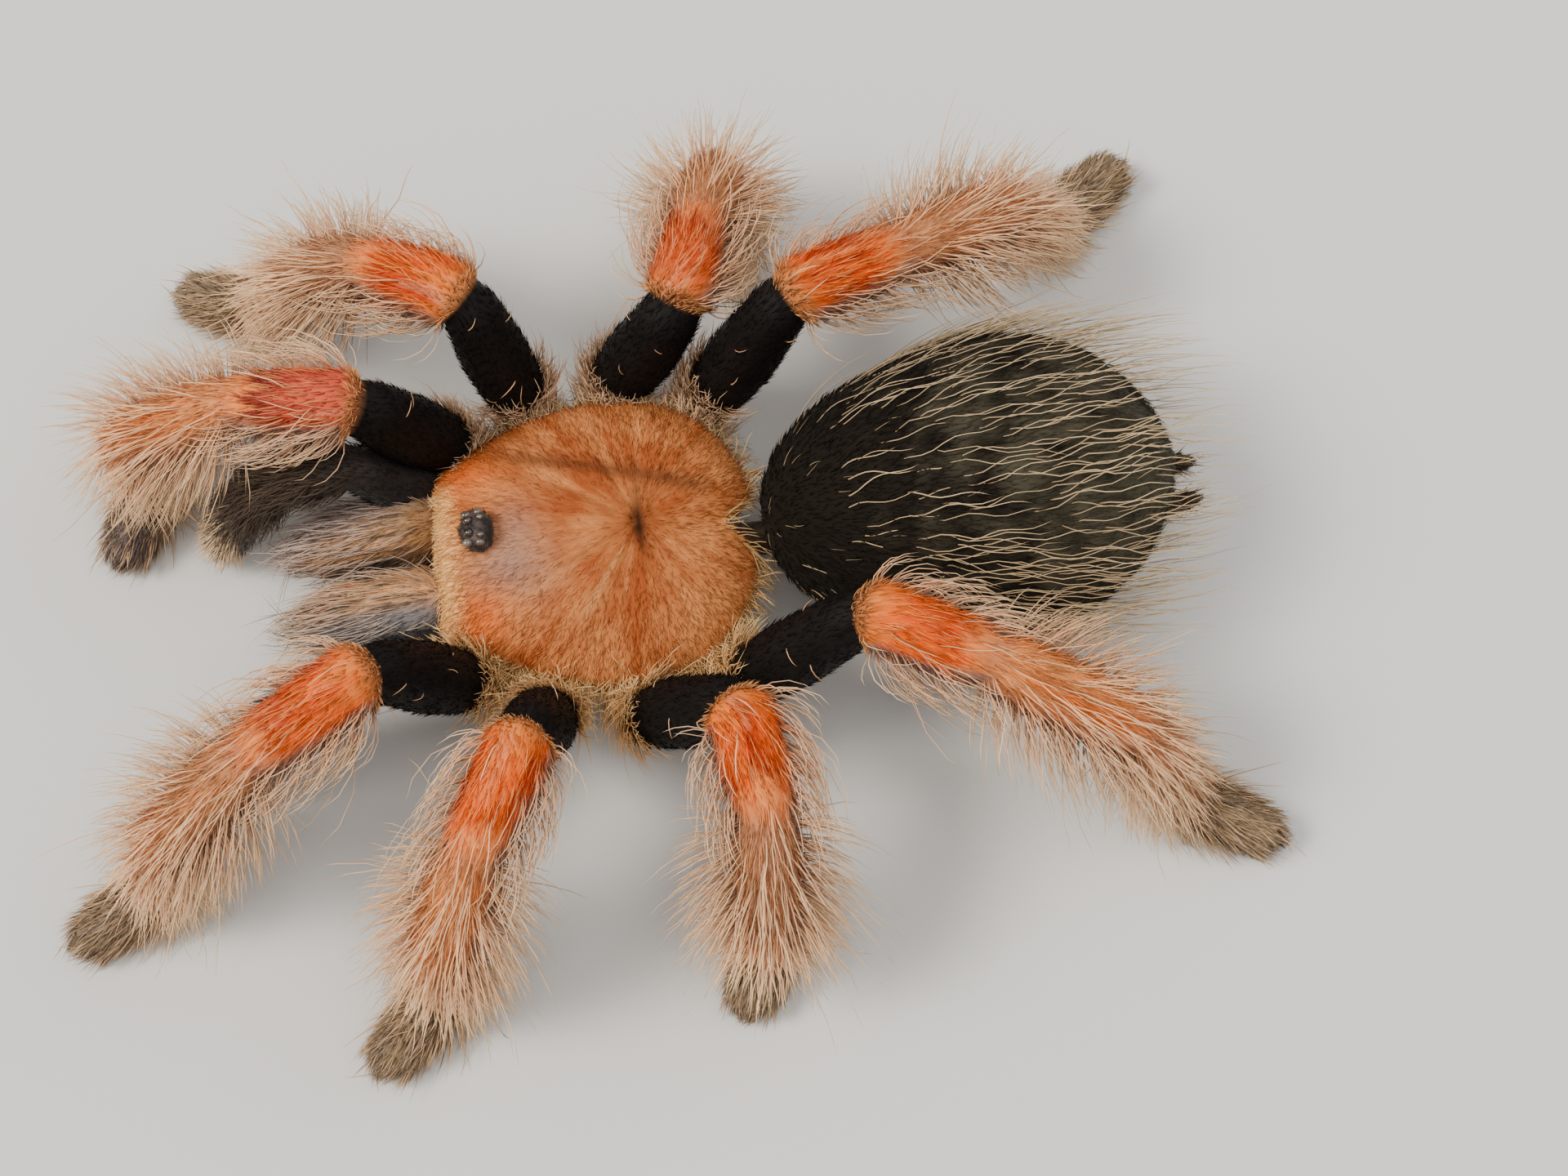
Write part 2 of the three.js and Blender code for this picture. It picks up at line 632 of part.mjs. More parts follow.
/**
 * Adds to each node its locks. A lock that comes within GAP of another node or of another node's lock, or too
 * near the ground, is tried shorter, and left out where no length fits.
 */
function growLocks() {
  const fatCores = new Map([...makers].map(([name, make]) => [name, make(GAP)]));
  const grown = []; // { name, fat } of each lock that stays
  const isClear = (name, lock) => {
    const shape = lockSolid(lock, 0);
    const outside = shape.subtract(cores.get(name));
    const crosses = (other, fat) => {
      if (other === name || !boxesMeet(outside, fat)) return false;
      return !outside.intersect(fat).isEmpty();
    };
    return (
      shape.boundingBox().min[2] > FLOOR_CLEARANCE &&
      ![...fatCores].some(([other, fat]) => crosses(other, fat)) &&
      !grown.some((neighbour) => crosses(neighbour.name, neighbour.fat))
    );
  };
  for (const [name, locks] of wanted) {
    let solid = cores.get(name);
    for (const lock of locks) {
      const tried = LOCK_TRIES.map((share) => ({ ...lock, length: lock.length * share }));
      const fitting = tried.find((shorter) => isClear(name, shorter));
      if (!fitting) continue;
      solid = solid.add(lockSolid(fitting, 0));
      grown.push({ name, fat: lockSolid(fitting, GAP) });
    }
    cores.set(name, largest(solid));
  }
}

const limbs = [];
for (const sideName of Object.keys(SIDES)) {
  for (const kind of ["1", "2", "3", "4", "palp"]) {
    const chain = chainOf(kind, sideName);
    const hip = chain[0].start;
    const outward = new THREE.Vector3(hip.x * 0.7, hip.y * 0.55, 0).normalize();
    chain.hipNormal = jointNormal(outward, chain[0].along);
    const prefix = kind === "palp" ? `palp_${sideName}` : `leg_${kind}_${sideName}`;
    limbs.push({ kind, prefix, chain });
  }
}

place("carapace", "shield", shieldSolid);
place("abdomen", "abdomen", abdomenSolid);
const abdomenSizes = [ABDOMEN.halfWidth, ABDOMEN.halfLength, ABDOMEN.halfHeight];
const abdomenFrame = at(...ABDOMEN.centre).multiply(abdomenTurn);
wanted.set("abdomen", eggLocks(ABDOMEN_LOCKS, ABDOMEN_LOCK, abdomenSizes, ABDOMEN.fullness, abdomenFrame));
place("prosoma_underside", "underside", (margin) => undersideSolid(limbs.map((limb) => limb.chain), margin));
place("pedicel", "underside", pedicelSolid);
place("eye_mound", "eyes", moundSolid);
for (const [sideName, side] of Object.entries(SIDES)) {
  place(`chelicera_${sideName}`, "jaws", (margin) => jawSolid(side, margin));
  const jawSizes = [JAW.halfWidth, JAW_HALF_LENGTH, JAW.halfHeight];
  wanted.set(`chelicera_${sideName}`, eggLocks(JAW_LOCKS, JAW_LOCK, jawSizes, JAW.fullness, jawFrame(side)));
  place(`fang_${sideName}`, "fangs", (margin) => fangSolid(side, margin));
  place(`spinneret_${sideName}`, "spinneret", (margin) => spinneretSolid(side, margin));
}
// The palps' first segments are also cut clear of the legs' coxae.
const legRoots = undersideSolid(limbs.filter(({ kind }) => kind !== "palp").map(({ chain }) => chain), GAP);
for (const { prefix, chain, kind } of limbs) {
  const palp = kind === "palp";
  const girth = palp ? PALP_GIRTH : 1;
  let previous = "prosoma_underside";
  chain.forEach((segment, i) => {
    const before = i > 0 ? jointNormal(chain[i - 1].along, segment.along) : chain.hipNormal;
    const after = i < chain.length - 1 ? jointNormal(segment.along, chain[i + 1].along) : null;
    const rows = (palp ? PALP_LOCKS : LIMB_LOCKS)[segment.name];
    const colour = palp ? "palp" : segment.name;
    const name = `${prefix}_${segment.name}`;
    const make = (margin) => {
      const solid = segmentSolid(segment, before, after, girth, margin);
      return palp && i === 0 ? solid.subtract(legRoots) : solid;
    };
    place(name, colour, make, [previous]);
    if (rows) wanted.set(name, limbLocks(segment, rows, girth));
    previous = name;
  });
}

growLocks();

// ---------------------------------------------------------------- the group

/** A solid as a named three.js mesh. */
function meshOf(name, solid, colour) {
  const { numProp, vertProperties, triVerts } = solid.getMesh();
  const places = new Float32Array((vertProperties.length / numProp) * 3);
  for (let i = 0; i < places.length / 3; i += 1) {
    places.set(vertProperties.subarray(i * numProp, i * numProp + 3), i * 3);
  }
  const geometry = new THREE.BufferGeometry();
  geometry.setAttribute("position", new THREE.BufferAttribute(places, 3));
  geometry.setIndex(new THREE.BufferAttribute(new Uint32Array(triVerts), 1));
  const material = new THREE.MeshStandardMaterial({ color: COLOURS[colour], roughness: 0.85, metalness: 0 });
  const mesh = new THREE.Mesh(geometry, material);
  mesh.name = name;
  return mesh;
}

const tarantula = new THREE.Group();
for (const [name, solid] of cores) tarantula.add(meshOf(name, solid, slots.get(name)));

// The origin is the middle of the whole animal's box, on the ground.
const box = new THREE.Box3().setFromObject(tarantula);
const middle = box.getCenter(new THREE.Vector3());
tarantula.position.set(-middle.x, -middle.y, 0);

export default tarantula;
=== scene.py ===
"""A red knee tarantula, life size and still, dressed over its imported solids.

Sizes are in millimetres in the animal's own frame, where the shield's middle line is x = 0, and become
metres in the row frame as each mesh is made. The head looks along -Y and the animal's left side is +X.
"""
import math

import bpy
import numpy as np
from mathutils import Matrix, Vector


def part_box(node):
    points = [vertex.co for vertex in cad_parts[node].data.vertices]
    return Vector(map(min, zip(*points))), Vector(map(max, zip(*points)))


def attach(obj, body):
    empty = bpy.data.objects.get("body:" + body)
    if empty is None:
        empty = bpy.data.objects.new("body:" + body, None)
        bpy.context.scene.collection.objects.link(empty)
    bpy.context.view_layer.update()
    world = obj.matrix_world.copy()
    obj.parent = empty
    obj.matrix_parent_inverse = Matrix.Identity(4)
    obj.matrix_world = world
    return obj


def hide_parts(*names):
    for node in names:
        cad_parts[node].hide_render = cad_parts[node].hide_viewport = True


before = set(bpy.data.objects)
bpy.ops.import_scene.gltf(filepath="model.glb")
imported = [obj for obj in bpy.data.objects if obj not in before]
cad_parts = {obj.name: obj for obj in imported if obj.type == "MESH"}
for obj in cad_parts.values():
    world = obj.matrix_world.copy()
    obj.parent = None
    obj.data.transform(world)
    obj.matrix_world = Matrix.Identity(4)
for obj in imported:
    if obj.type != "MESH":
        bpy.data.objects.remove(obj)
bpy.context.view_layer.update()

# ---------------------------------------------------------------- place, camera, floor and light
# The eye mound stands on the middle line of the body, so it gives the step from the animal's own frame to the
# row's. The camera looks down from over the animal's left side, with its head to the left of the picture.

MM = 0.001
MOUND_Y = -7.9
mound_low, mound_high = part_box("eye_mound")
SHIFT = np.array([
    (mound_low.x + mound_high.x) / 2 / MM,
    (mound_low.y + mound_high.y) / 2 / MM - MOUND_Y,
    0.0,
])

VIEW = {"target": (4.6, 12.0, 9.0), "azimuth": 84.0, "elevation": 70.0, "distance": 220.0, "lens": 75.5}
LIGHT_DISTANCE = 400
LIGHTS = {  # azimuth, elevation, strength, width in degrees, colour
    "key": (5, 50, 3.1, 22, (1.0, 0.94, 0.86)),
    "fill": (200, 40, 0.6, 50, (0.97, 0.98, 1.0)),
    "top": (120, 78, 1.2, 40, (1.0, 0.97, 0.93)),
}
SKY_GREY = (0.88, 0.87, 0.86, 1)
SKY_STRENGTH = 0.6
FLOOR_GREY = (0.70, 0.69, 0.67, 1)
FLOOR_HALF = 6.0  # metres


def toward(azimuth, elevation):
    """The unit vector from the target to a viewer: azimuth 0 stands in front at -Y, 90 at +X."""
    turn, tilt = math.radians(azimuth), math.radians(elevation)
    return np.array([math.sin(turn) * math.cos(tilt), -math.cos(turn) * math.cos(tilt), math.sin(tilt)])


def placed(thing, azimuth, elevation, distance):
    """Links an object that looks at the target from this side, upright."""
    bpy.context.scene.collection.objects.link(thing)
    thing.location = (np.array(VIEW["target"]) + SHIFT + toward(azimuth, elevation) * distance) * MM
    thing.rotation_euler = (math.radians(90 - elevation), 0, math.radians(azimuth))
    return thing


camera = bpy.data.cameras.new("camera")
camera.lens = VIEW["lens"]
camera.sensor_width = 36.0
camera.clip_start = 0.01
viewer = bpy.data.objects.new("camera", camera)
bpy.context.scene.camera = placed(viewer, VIEW["azimuth"], VIEW["elevation"], VIEW["distance"])

for name, (azimuth, elevation, strength, width, colour) in LIGHTS.items():
    light = bpy.data.lights.new(name, "SUN")
    light.energy = strength
    light.angle = math.radians(width)
    light.color = colour
    placed(bpy.data.objects.new(name, light), azimuth, elevation, LIGHT_DISTANCE)

world = bpy.data.worlds.new("studio")
world.use_nodes = True
world.node_tree.nodes["Background"].inputs["Color"].default_value = SKY_GREY
world.node_tree.nodes["Background"].inputs["Strength"].default_value = SKY_STRENGTH
bpy.context.scene.world = world


def new_material(name, **constants):
    """A material and its Principled shader, with these constants set on the shader's sockets."""
    made = bpy.data.materials.new(name)
    made.use_nodes = True
    shader = made.node_tree.nodes["Principled BSDF"]
    for socket, value in constants.items():
        shader.inputs[socket.replace("_", " ")].default_value = value
    return made, shader


corners = [(x * FLOOR_HALF, y * FLOOR_HALF, 0) for x, y in ((-1, -1), (1, -1), (1, 1), (-1, 1))]
floor_mesh = bpy.data.meshes.new("floor")
floor_mesh.from_pydata(corners, [], [(0, 1, 2, 3)])
floor = bpy.data.objects.new("floor", floor_mesh)
bpy.context.scene.collection.objects.link(floor)
floor_mesh.materials.append(new_material("pale_floor", Roughness=0.9, Base_Color=FLOOR_GREY)[0])

# ---------------------------------------------------------------- the shield
# One hard domed plate over the front body, under short orange-brown hair combed outwards from the pit in its
# middle. Shallow grooves run out from the pit, and a longer golden fringe stands round the rim.

SHIELD = {
    "half_width": 10.4, "front": -11.3, "rear": 10.7, "rim": 8.8, "edge": 0.7, "dome": 3.9, "notch": 2.0,
}
SHIELD_MIDDLE = (SHIELD["front"] + SHIELD["rear"]) / 2
SHIELD_HALF = (SHIELD["rear"] - SHIELD["front"]) / 2
SHIELD_WIDEST = 0.08  # of the half length behind the middle
SHIELD_INSET = 0.975  # the skin lies this share out, under the coat
SHIELD_DEPTH = 0.28  # and this far below the top that the sizes give
PIT_Y = SHIELD_MIDDLE + 0.28 * SHIELD_HALF
PIT = {"half_length": 1.25, "half_width": 0.34, "depth": 0.55, "bend": 0.05}
GROOVE_HEADINGS = (0.5, 1.12, 1.68, 2.3)
GROOVE = {"width": 0.085, "depth": 0.11}
RIM_POINTS = 720
RIM_SMOOTHING = 9
SHIELD_ORANGE = (0.37, 0.083, 0.018)
SHIELD_GOLD = (0.63, 0.235, 0.072)
SHIELD_SHADE = (0.11, 0.035, 0.012)
PIT_SHADE = (0.030, 0.012, 0.006)
SHIELD_LILAC_SHEEN = (0.33, 0.20, 0.155)
SHIELD_BRIGHT = (0.76, 0.155, 0.022)
SHIELD_PEACH = (1.0, 0.54, 0.19)
RIM_GOLD = (0.80, 0.43, 0.16)
SHIELD_PATCHES = (  # a colour, and the strength, middle and size of each soft patch of it
    # The grey-lilac patches behind the eyes are a painted sheen.
    (SHIELD_LILAC_SHEEN, ((0.75, (2.4, -5.8), (2.3, 2.6)), (0.4, (-0.6, -5.4), (1.8, 1.6)))),
    (SHIELD_BRIGHT, ((0.95, (-4.9, -8.6), (2.0, 2.3)), (0.8, (5.4, -7.9), (1.7, 1.9)))),
)
FRINGE_GOLD, FRINGE_BROWN, FRINGE_GREY = (0.50, 0.28, 0.10), (0.24, 0.12, 0.04), (0.20, 0.15, 0.12)
FRINGE_TIP, FRINGE_FRONT_TIP = (0.80, 0.54, 0.25), (1.0, 0.66, 0.38)


def bell(value, middle, width):
    """One at the middle, falling off both ways as a bell over about the width."""
    return np.exp(-(((value - middle) / width) ** 2))


def near(x, y, centre, size):
    """One at the centre, falling off as a bell over about size each way."""
    return np.exp(-(((x - centre[0]) / size[0]) ** 2) - ((y - centre[1]) / size[1]) ** 2)


def over(value, edge, soft):
    """From 0 to 1 as the value passes the edge, over a width of soft, or from 1 to 0 where soft is
    negative."""
    return np.clip((value - edge) / soft + 0.5, 0, 1)


def shield_half_width(s):
    """Half the width at s, from -1 in front to 1 behind: a power of the way from the widest place."""
    fore = 1 - 0.46 * (np.clip(SHIELD_WIDEST - s, 0, None) / (1 + SHIELD_WIDEST)) ** 1.9
    aft = (1 - 0.9 * (np.clip(s - SHIELD_WIDEST, 0, None) / (1 - SHIELD_WIDEST)) ** 2.7) ** 0.55
    return SHIELD["half_width"] * np.where(s < SHIELD_WIDEST, fore, aft)


def shield_rise(u, s):
    """Height over the rim at u across and s along: an arch across, times one along, with the head's
    swelling."""
    arch = (1 - np.clip(np.abs(u), 0, 1) ** 2.3) ** 0.62
    fore = (1 - np.clip(-s, 0, 1) ** 8) ** 0.5
    aft = (1 - np.clip(s, 0, 1) ** 2.6) ** 0.62
    head = 1 + 0.1 * near(s, u, (-0.55, 0), (0.3, 0.55))
    return SHIELD["dome"] * arch * np.where(s < 0, fore, aft) * head


def shield_rim():
    """The rim as points an even way apart: rear edge with its notch, left side, blunt front edge, right
    side."""
    across = np.linspace(0, 1, 40)
    along = np.cos(np.linspace(0, math.pi, 240))
    rear = shield_half_width(np.array(1.0)) * across
    front = shield_half_width(np.array(-1.0)) * across[::-1]
    notch = SHIELD["notch"] * bell(across, 0, 0.45)
    sides_y = SHIELD_MIDDLE + SHIELD_HALF * along
    x = np.concatenate([rear, shield_half_width(along), front])
    y = np.concatenate([SHIELD["rear"] - notch, sides_y, np.full(len(front), SHIELD["front"])])
    x = np.concatenate([x, -x[::-1]])
    y = np.concatenate([y, y[::-1]])
    way = np.concatenate([[0], np.cumsum(np.hypot(np.diff(x), np.diff(y)))])
    even = np.linspace(0, way[-1], RIM_POINTS, endpoint=False)
    rim = np.stack([np.interp(even, way, x), np.interp(even, way, y)], 1)
    for _ in range(RIM_SMOOTHING):
        rim = (np.roll(rim, 1, 0) + rim + np.roll(rim, -1, 0)) / 3
    return rim


RIM = shield_rim()


def shield_surface(a, b):
    """The shield at a round its rim and b from the pit, over the rim at 0.5, to the middle of its underside.

    Each point lies on the straight way from the pit to the rim. Above, its height is the rise less the
    grooves, narrow valleys at set headings, and the pit's slit. Below is a flat floor with a rounded edge."""
    turn = (a % 1) * RIM_POINTS
    low = np.floor(turn).astype(int) % RIM_POINTS
    share = (turn % 1)[..., None]
    edge = RIM[low] * (1 - share) + RIM[(low + 1) % RIM_POINTS] * share
    inner, outer = np.sin(math.pi * np.clip(b, 0, 0.5)) ** 0.9, np.sin(math.pi * np.clip(1 - b, 0, 0.5))
    rho = np.where(b < 0.5, inner, outer)
    pit = np.array([0.0, PIT_Y])
    flat = pit + rho[..., None] * (edge * SHIELD_INSET - pit)
    x, y = flat[..., 0], flat[..., 1]
    s = np.clip((y - SHIELD_MIDDLE) / SHIELD_HALF / SHIELD_INSET, -1, 1)
    u = x / shield_half_width(s) / SHIELD_INSET
    heading = np.abs(np.arctan2(x, PIT_Y - y))
    valley = sum(bell(heading, groove, GROOVE["width"]) for groove in GROOVE_HEADINGS)
    window = np.clip(rho / 0.15, 0, 1) * np.clip((0.86 - rho) / 0.3, 0, 1)
    bent = y - PIT_Y + PIT["bend"] * x * x
    slit = PIT["depth"] * near(x, bent, (0, 0), (PIT["half_length"], PIT["half_width"]))
    top = SHIELD["rim"] - SHIELD_DEPTH + shield_rise(u, s) - GROOVE["depth"] * valley * window - slit
    under = SHIELD["rim"] - SHIELD["edge"] * (0.25 + 0.75 * (1 - rho ** 6))
    return np.stack([x, y, np.where(b < 0.5, np.maximum(top, SHIELD["rim"] - 0.1), under)], -1)


def mesh_piece(name, points, triangles, material, tint, uv, uv_name="UVMap", node_names=()):
    """A solid piece from arrays: points in mm, corner numbers, colours of the points and map places of
    corners."""
    mesh = bpy.data.meshes.new(name)
    mesh.vertices.add(len(points))
    mesh.vertices.foreach_set("co", ((points + SHIFT) * MM).astype(np.float32).ravel())
    mesh.loops.add(triangles.size)
    mesh.loops.foreach_set("vertex_index", triangles.astype(np.int32).ravel())
    mesh.polygons.add(len(triangles))
    mesh.polygons.foreach_set("loop_start", np.arange(0, triangles.size, 3, dtype=np.int32))
    mesh.polygons.foreach_set("use_smooth", np.ones(len(triangles), bool))
    mesh.update(calc_edges=True)
    colours = np.ones((len(points), 4), np.float32)
    colours[:, :3] = np.clip(tint, 0, 1)
    mesh.attributes.new("tint", "FLOAT_COLOR", "POINT").data.foreach_set("color", colours.ravel())
    mesh.uv_layers.new(name=uv_name).data.foreach_set("uv", uv.astype(np.float32).ravel())
    mesh.materials.append(material)
    piece = bpy.data.objects.new(name, mesh)
    bpy.context.scene.collection.objects.link(piece)
    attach(piece, "root")
    if node_names:
        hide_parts(*node_names)


def lattice(around, along):
    """Grid places a and b of a closed surface, as pole, rings and pole, and its triangles, two a square."""
    grid_a, grid_b = np.meshgrid(np.arange(around) / around, np.arange(1, along) / along)
    place_a = np.concatenate([[0], grid_a.ravel(), [0]])
    place_b = np.concatenate([[0], grid_b.ravel(), [1]])
    ring, turn = np.meshgrid(np.arange(along - 2), np.arange(around), indexing="ij")
    here = 1 + ring * around + turn
    beside = 1 + ring * around + (turn + 1) % around
    squares = np.stack([here, beside, beside + around, here, beside + around, here + around], -1)
    turn = np.arange(around)
    last = 1 + (along - 2) * around
    first_cap = np.stack([np.zeros(around, int), 1 + (turn + 1) % around, 1 + turn], 1)
    last_cap = np.stack([last + turn, last + (turn + 1) % around, np.full(around, last + around)], 1)
    return place_a, place_b, np.concatenate([first_cap, squares.reshape(-1, 3), last_cap])


def skin(name, surface, around, along, tint, material, node_names, map_size):
    """A closed skin on a lattice of the surface, coloured by tint(a, b), mapped by a and b times map_size."""
    a, b, triangles = lattice(around, along)
    corner_a, corner_b = a[triangles], b[triangles]
    corner_a = np.where(corner_a < corner_a.max(1, keepdims=True) - 0.5, corner_a + 1, corner_a)
    uv = np.stack([corner_a * map_size[0], corner_b * map_size[1]], -1)
    mesh_piece(name, surface(a, b), triangles, material, tint(a, b), uv, node_names=node_names)


def unit(vectors):
    return vectors / np.maximum(np.linalg.norm(vectors, axis=-1, keepdims=True), 1e-9)


def axes_on(surface, a, b):
    """Point, outward normal, the way of growing b, and the area a unit of a and b covers, by small steps.

    On every surface here growing a, growing b and the outward normal stand as the axes x, y and z do."""
    step = 1e-3
    b = np.clip(b, 2 * step, 1 - 2 * step)
    by_a = (surface(a + step, b) - surface(a - step, b)) / (2 * step)
    by_b = (surface(a, b + step) - surface(a, b - step)) / (2 * step)
    cross = np.cross(by_a, by_b)
    return surface(a, b), unit(cross), unit(by_b), np.linalg.norm(cross, axis=-1)


def floored(points):
    """Eases whatever comes near the floor, or under it, to lie just above it: an exponential below 0.3 mm."""
    low = 0.3
    z = points[..., 2]
    eased = np.where(z < low, low * np.exp(np.clip((z - low) / low, -9, 0)), z)
    return np.concatenate([points[..., :2], eased[..., None]], -1)


def roots_on(surface, rng, count, density):
    """Root places a and b for hairs, spread by area times density: even steps through the summed weights of
    a grid of cells choose the cells, and each root lies at random within its cell."""
    across, along = 192, 240
    places = (np.arange(across) + 0.5) / across, (np.arange(along) + 0.5) / along
    cell_a, cell_b = (grid.ravel() for grid in np.meshgrid(*places, indexing="ij"))
    share = 1 if density is None else np.clip(density(cell_a, cell_b), 0, None)
    total = np.cumsum(axes_on(surface, cell_a, cell_b)[3] * share)
    cell = np.searchsorted(total, (np.arange(count) + rng.random(count)) / count * total[-1])
    a = cell_a[cell] + (rng.random(count) - 0.5) / across
    b = cell_b[cell] + (rng.random(count) - 0.5) / along
    return a, b


def at_roots(value, a, b):
    """A number as it is, or a function's values at the roots."""
    return value(a, b) if callable(value) else np.full(len(a), float(value))


ROOT_DEPTH = 0.12
LEAN_SPREAD = 5  # degrees
SWAY_RATE = 1.5  # radians for each mm along a hair


def hairs(surface, rng, count, length, tint, tip=None, density=None, width=0.09, rise=20, fall=6, rings=2,
          wave=0.0, turn=12.0, shades=0.2, pull=(0, 0, 0), stray=0.0):
    """Hairs as closed three-sided spindles, all at once: points, triangles, colours and map places.

    The lie is the way of growing b, turned by a random angle of about turn. At the share t along it, a hair
    leans from the surface by an angle that runs from rise to fall, in the plane of the outward normal and the
    lie, sways across by wave times a sine whose period is 4.2 mm, and is drawn by the vector pull times t.
    The three corners of ring t lie round this line at half the width times the root of 1 - t. A share stray
    of the hairs is half as long again."""
    a, b = roots_on(surface, rng, count, density)
    root, out, lie, _ = axes_on(surface, a, b)
    angle = np.radians(rng.normal(0, turn, count))
    lie = lie * np.cos(angle)[:, None] + np.cross(out, lie) * np.sin(angle)[:, None]
    side = np.cross(out, lie)
    reach = at_roots(length, a, b) * rng.uniform(0.72, 1.22, count) * (1 + 0.5 * (rng.random(count) < stray))
    rise, fall = at_roots(rise, a, b), at_roots(fall, a, b)
    lean = rng.normal(0, LEAN_SPREAD, count)
    phase = rng.uniform(0, 2 * math.pi, count)
    thickness = width * rng.uniform(0.8, 1.2, count)
    place = root - ROOT_DEPTH * out
    points, colours, patch = [], [], []
    base = tint(a, b) * rng.uniform(1 - shades, 1 + shades, (count, 1))
    tip_shades = 0.7 * shades
    end = base if tip is None else tip(a, b) * rng.uniform(1 - tip_shades, 1 + tip_shades, (count, 1))
    for k in range(rings + 1):
        t = k / rings
        slope = np.radians(rise + (fall - rise) * t + lean)[:, None]
        sway = wave * np.sin(phase + SWAY_RATE * reach * t)
        along = unit(lie * np.cos(slope) + out * np.sin(slope) + side * sway[:, None] + np.array(pull) * t)
        top = unit(np.cross(side, along))
        across = np.cross(along, top)
        radius = (0.5 * math.sqrt(1 - t) * thickness)[:, None]
        for corner in range(1 if k == rings else 3):
            heading = 2 * math.pi * corner / 3
            points.append(place + radius * (across * math.sin(heading) + top * math.cos(heading)))
            colours.append(base * (1 - t) + end * t)
            patch.append(np.stack([a % 1 * 0.994 + 0.003 + 0.001 * (corner - 1), b * 0.994 + 0.003 * t], 1))
        if k < rings:
            place = place + along * (reach / rings)[:, None]
    ladder = [(0, 2, 1)]
    for k in range(rings - 1):
        for corner in range(3):
            p, q = 3 * k + corner, 3 * k + (corner + 1) % 3
            ladder += [(p, q, q + 3), (p, q + 3, p + 3)]
    last = 3 * rings - 3
    ladder += [(last + corner, last + (corner + 1) % 3, last + 3) for corner in range(3)]
    triangles = np.array(ladder)[None] + (last + 4) * np.arange(count)[:, None, None]
    flat = [floored(np.stack(points, 1)), triangles, np.stack(colours, 1), np.stack(patch, 1)]
    return [part.reshape(-1, part.shape[-1]) for part in flat]


def coat(name, surface, seed, material, slot, *layers):
    """One piece of coat: the hairs of all its layers, joined, with their own map, named OFBake."""
    rng = np.random.default_rng(seed)
    parts = [hairs(surface, rng, **layer) for layer in layers]
    starts = np.cumsum([0] + [len(part[0]) for part in parts[:-1]])
    triangles = np.concatenate([part[1] + start for part, start in zip(parts, starts)])
    points, tints, patch = (np.concatenate([part[i] for part in parts]) for i in (0, 2, 3))
    mesh_piece(name, points, triangles, material, tints, patch[triangles], "OFBake")


def ripple(places, size, seed):
    """Smooth noise from about -1 to 1: the sum of nine waves about size long in random directions."""
    rng = np.random.default_rng(seed)
    waves = rng.normal(0, 1, (9, places.shape[-1])) * 2 * math.pi / size / math.sqrt(places.shape[-1])
    return np.sin(places @ waves.T + rng.uniform(0, 6.3, 9)).sum(-1) / 3.2


def streaks(turn, along, fineness, stretch, size, seed):
    """Ripples drawn out in streaks: read on a tube as wide as the fineness, along times the stretch up it."""
    places = np.stack([np.cos(turn) * fineness, np.sin(turn) * fineness, along * stretch], -1)
    return ripple(places, size, seed)


def blend(first, second, share):
    """A mix of two colours by a share for each place."""
    share = np.clip(np.asarray(share), 0, 1)[..., None]
    return np.asarray(first) * (1 - share) + np.asarray(second) * share


def marked(colour, *marks):
    """The colour with further ones laid over it in turn, each by its share."""
    for shade, share in marks:
        colour = blend(colour, shade, share)
    return colour


class Value:
    """A number or colour in one material. Arithmetic on it adds Math nodes, and node() adds any other
    kind."""

    def __init__(self, socket):
        self.socket = socket

    def node(self, kind, settings=None, sockets=None, out=0):
        """Adds a node: its settings first, with a ramp's stops as places and colours, then its sockets'
        values."""
        tree = self.socket.id_data
        made = tree.nodes.new(kind)
        for name, setting in (settings or {}).items():
            if name == "stops":
                for element, (position, shade) in zip(made.color_ramp.elements, setting):
                    element.position = position
                    element.color = shade
            else:
                setattr(made, name, setting)
        for key, value in (sockets or {}).items():
            if isinstance(value, Value):
                tree.links.new(value.socket, made.inputs[key])
            else:
                made.inputs[key].default_value = value
        return Value(made.outputs[out])

    def into(self, shader, socket):
        self.socket.id_data.links.new(self.socket, shader.inputs[socket])

    def math(self, operation, first, second):
        return self.node("ShaderNodeMath", {"operation": operation}, {0: first, 1: second})

    def __add__(self, other):
        return self.math("ADD", self, other)

    def __mul__(self, other):
        return self.math("MULTIPLY", self, other)

    def __sub__(self, other):
        return self.math("SUBTRACT", self, other)

    def __rsub__(self, other):
        return self.math("SUBTRACT", other, self)

    __radd__ = __add__
    __rmul__ = __mul__

    def noise(self, scale, detail=3.0):
        """Smooth noise round 0.5, read at this vector."""
        sockets = {"Vector": self, "Scale": scale, "Detail": detail, "Roughness": 0.55}
        return self.node("ShaderNodeTexNoise", {}, sockets)

    def scaled(self, factors):
        """This vector times a fixed one."""
        return self.node("ShaderNodeVectorMath", {"operation": "MULTIPLY"}, {0: self, 1: factors})

    def shaded(self, amount):
        """This colour times a grey of that amount."""
        grey = self.node("ShaderNodeCombineColor", {}, {0: amount, 1: amount, 2: amount})
        settings = {"data_type": "RGBA", "blend_type": "MULTIPLY"}
        return self.node("ShaderNodeMix", settings, {0: 1.0, 6: self, 7: grey}, out=2)

    def ramp(self, low, low_colour, high, high_colour):
        """A colour that runs between two as this passes from low to high."""
        stops = [(low, low_colour), (high, high_colour)]
        return self.node("ShaderNodeValToRGB", {"stops": stops}, {"Fac": self})


def place_in(shader, kind):
    """The shaded place on one of the texture coordinates."""
    return Value(shader.outputs[0]).node("ShaderNodeTexCoord", out=kind)


def tint_of(place):
    """The colour that each point of the mesh carries."""
    return place.node("ShaderNodeAttribute", {"attribute_name": "tint"}, out="Color")


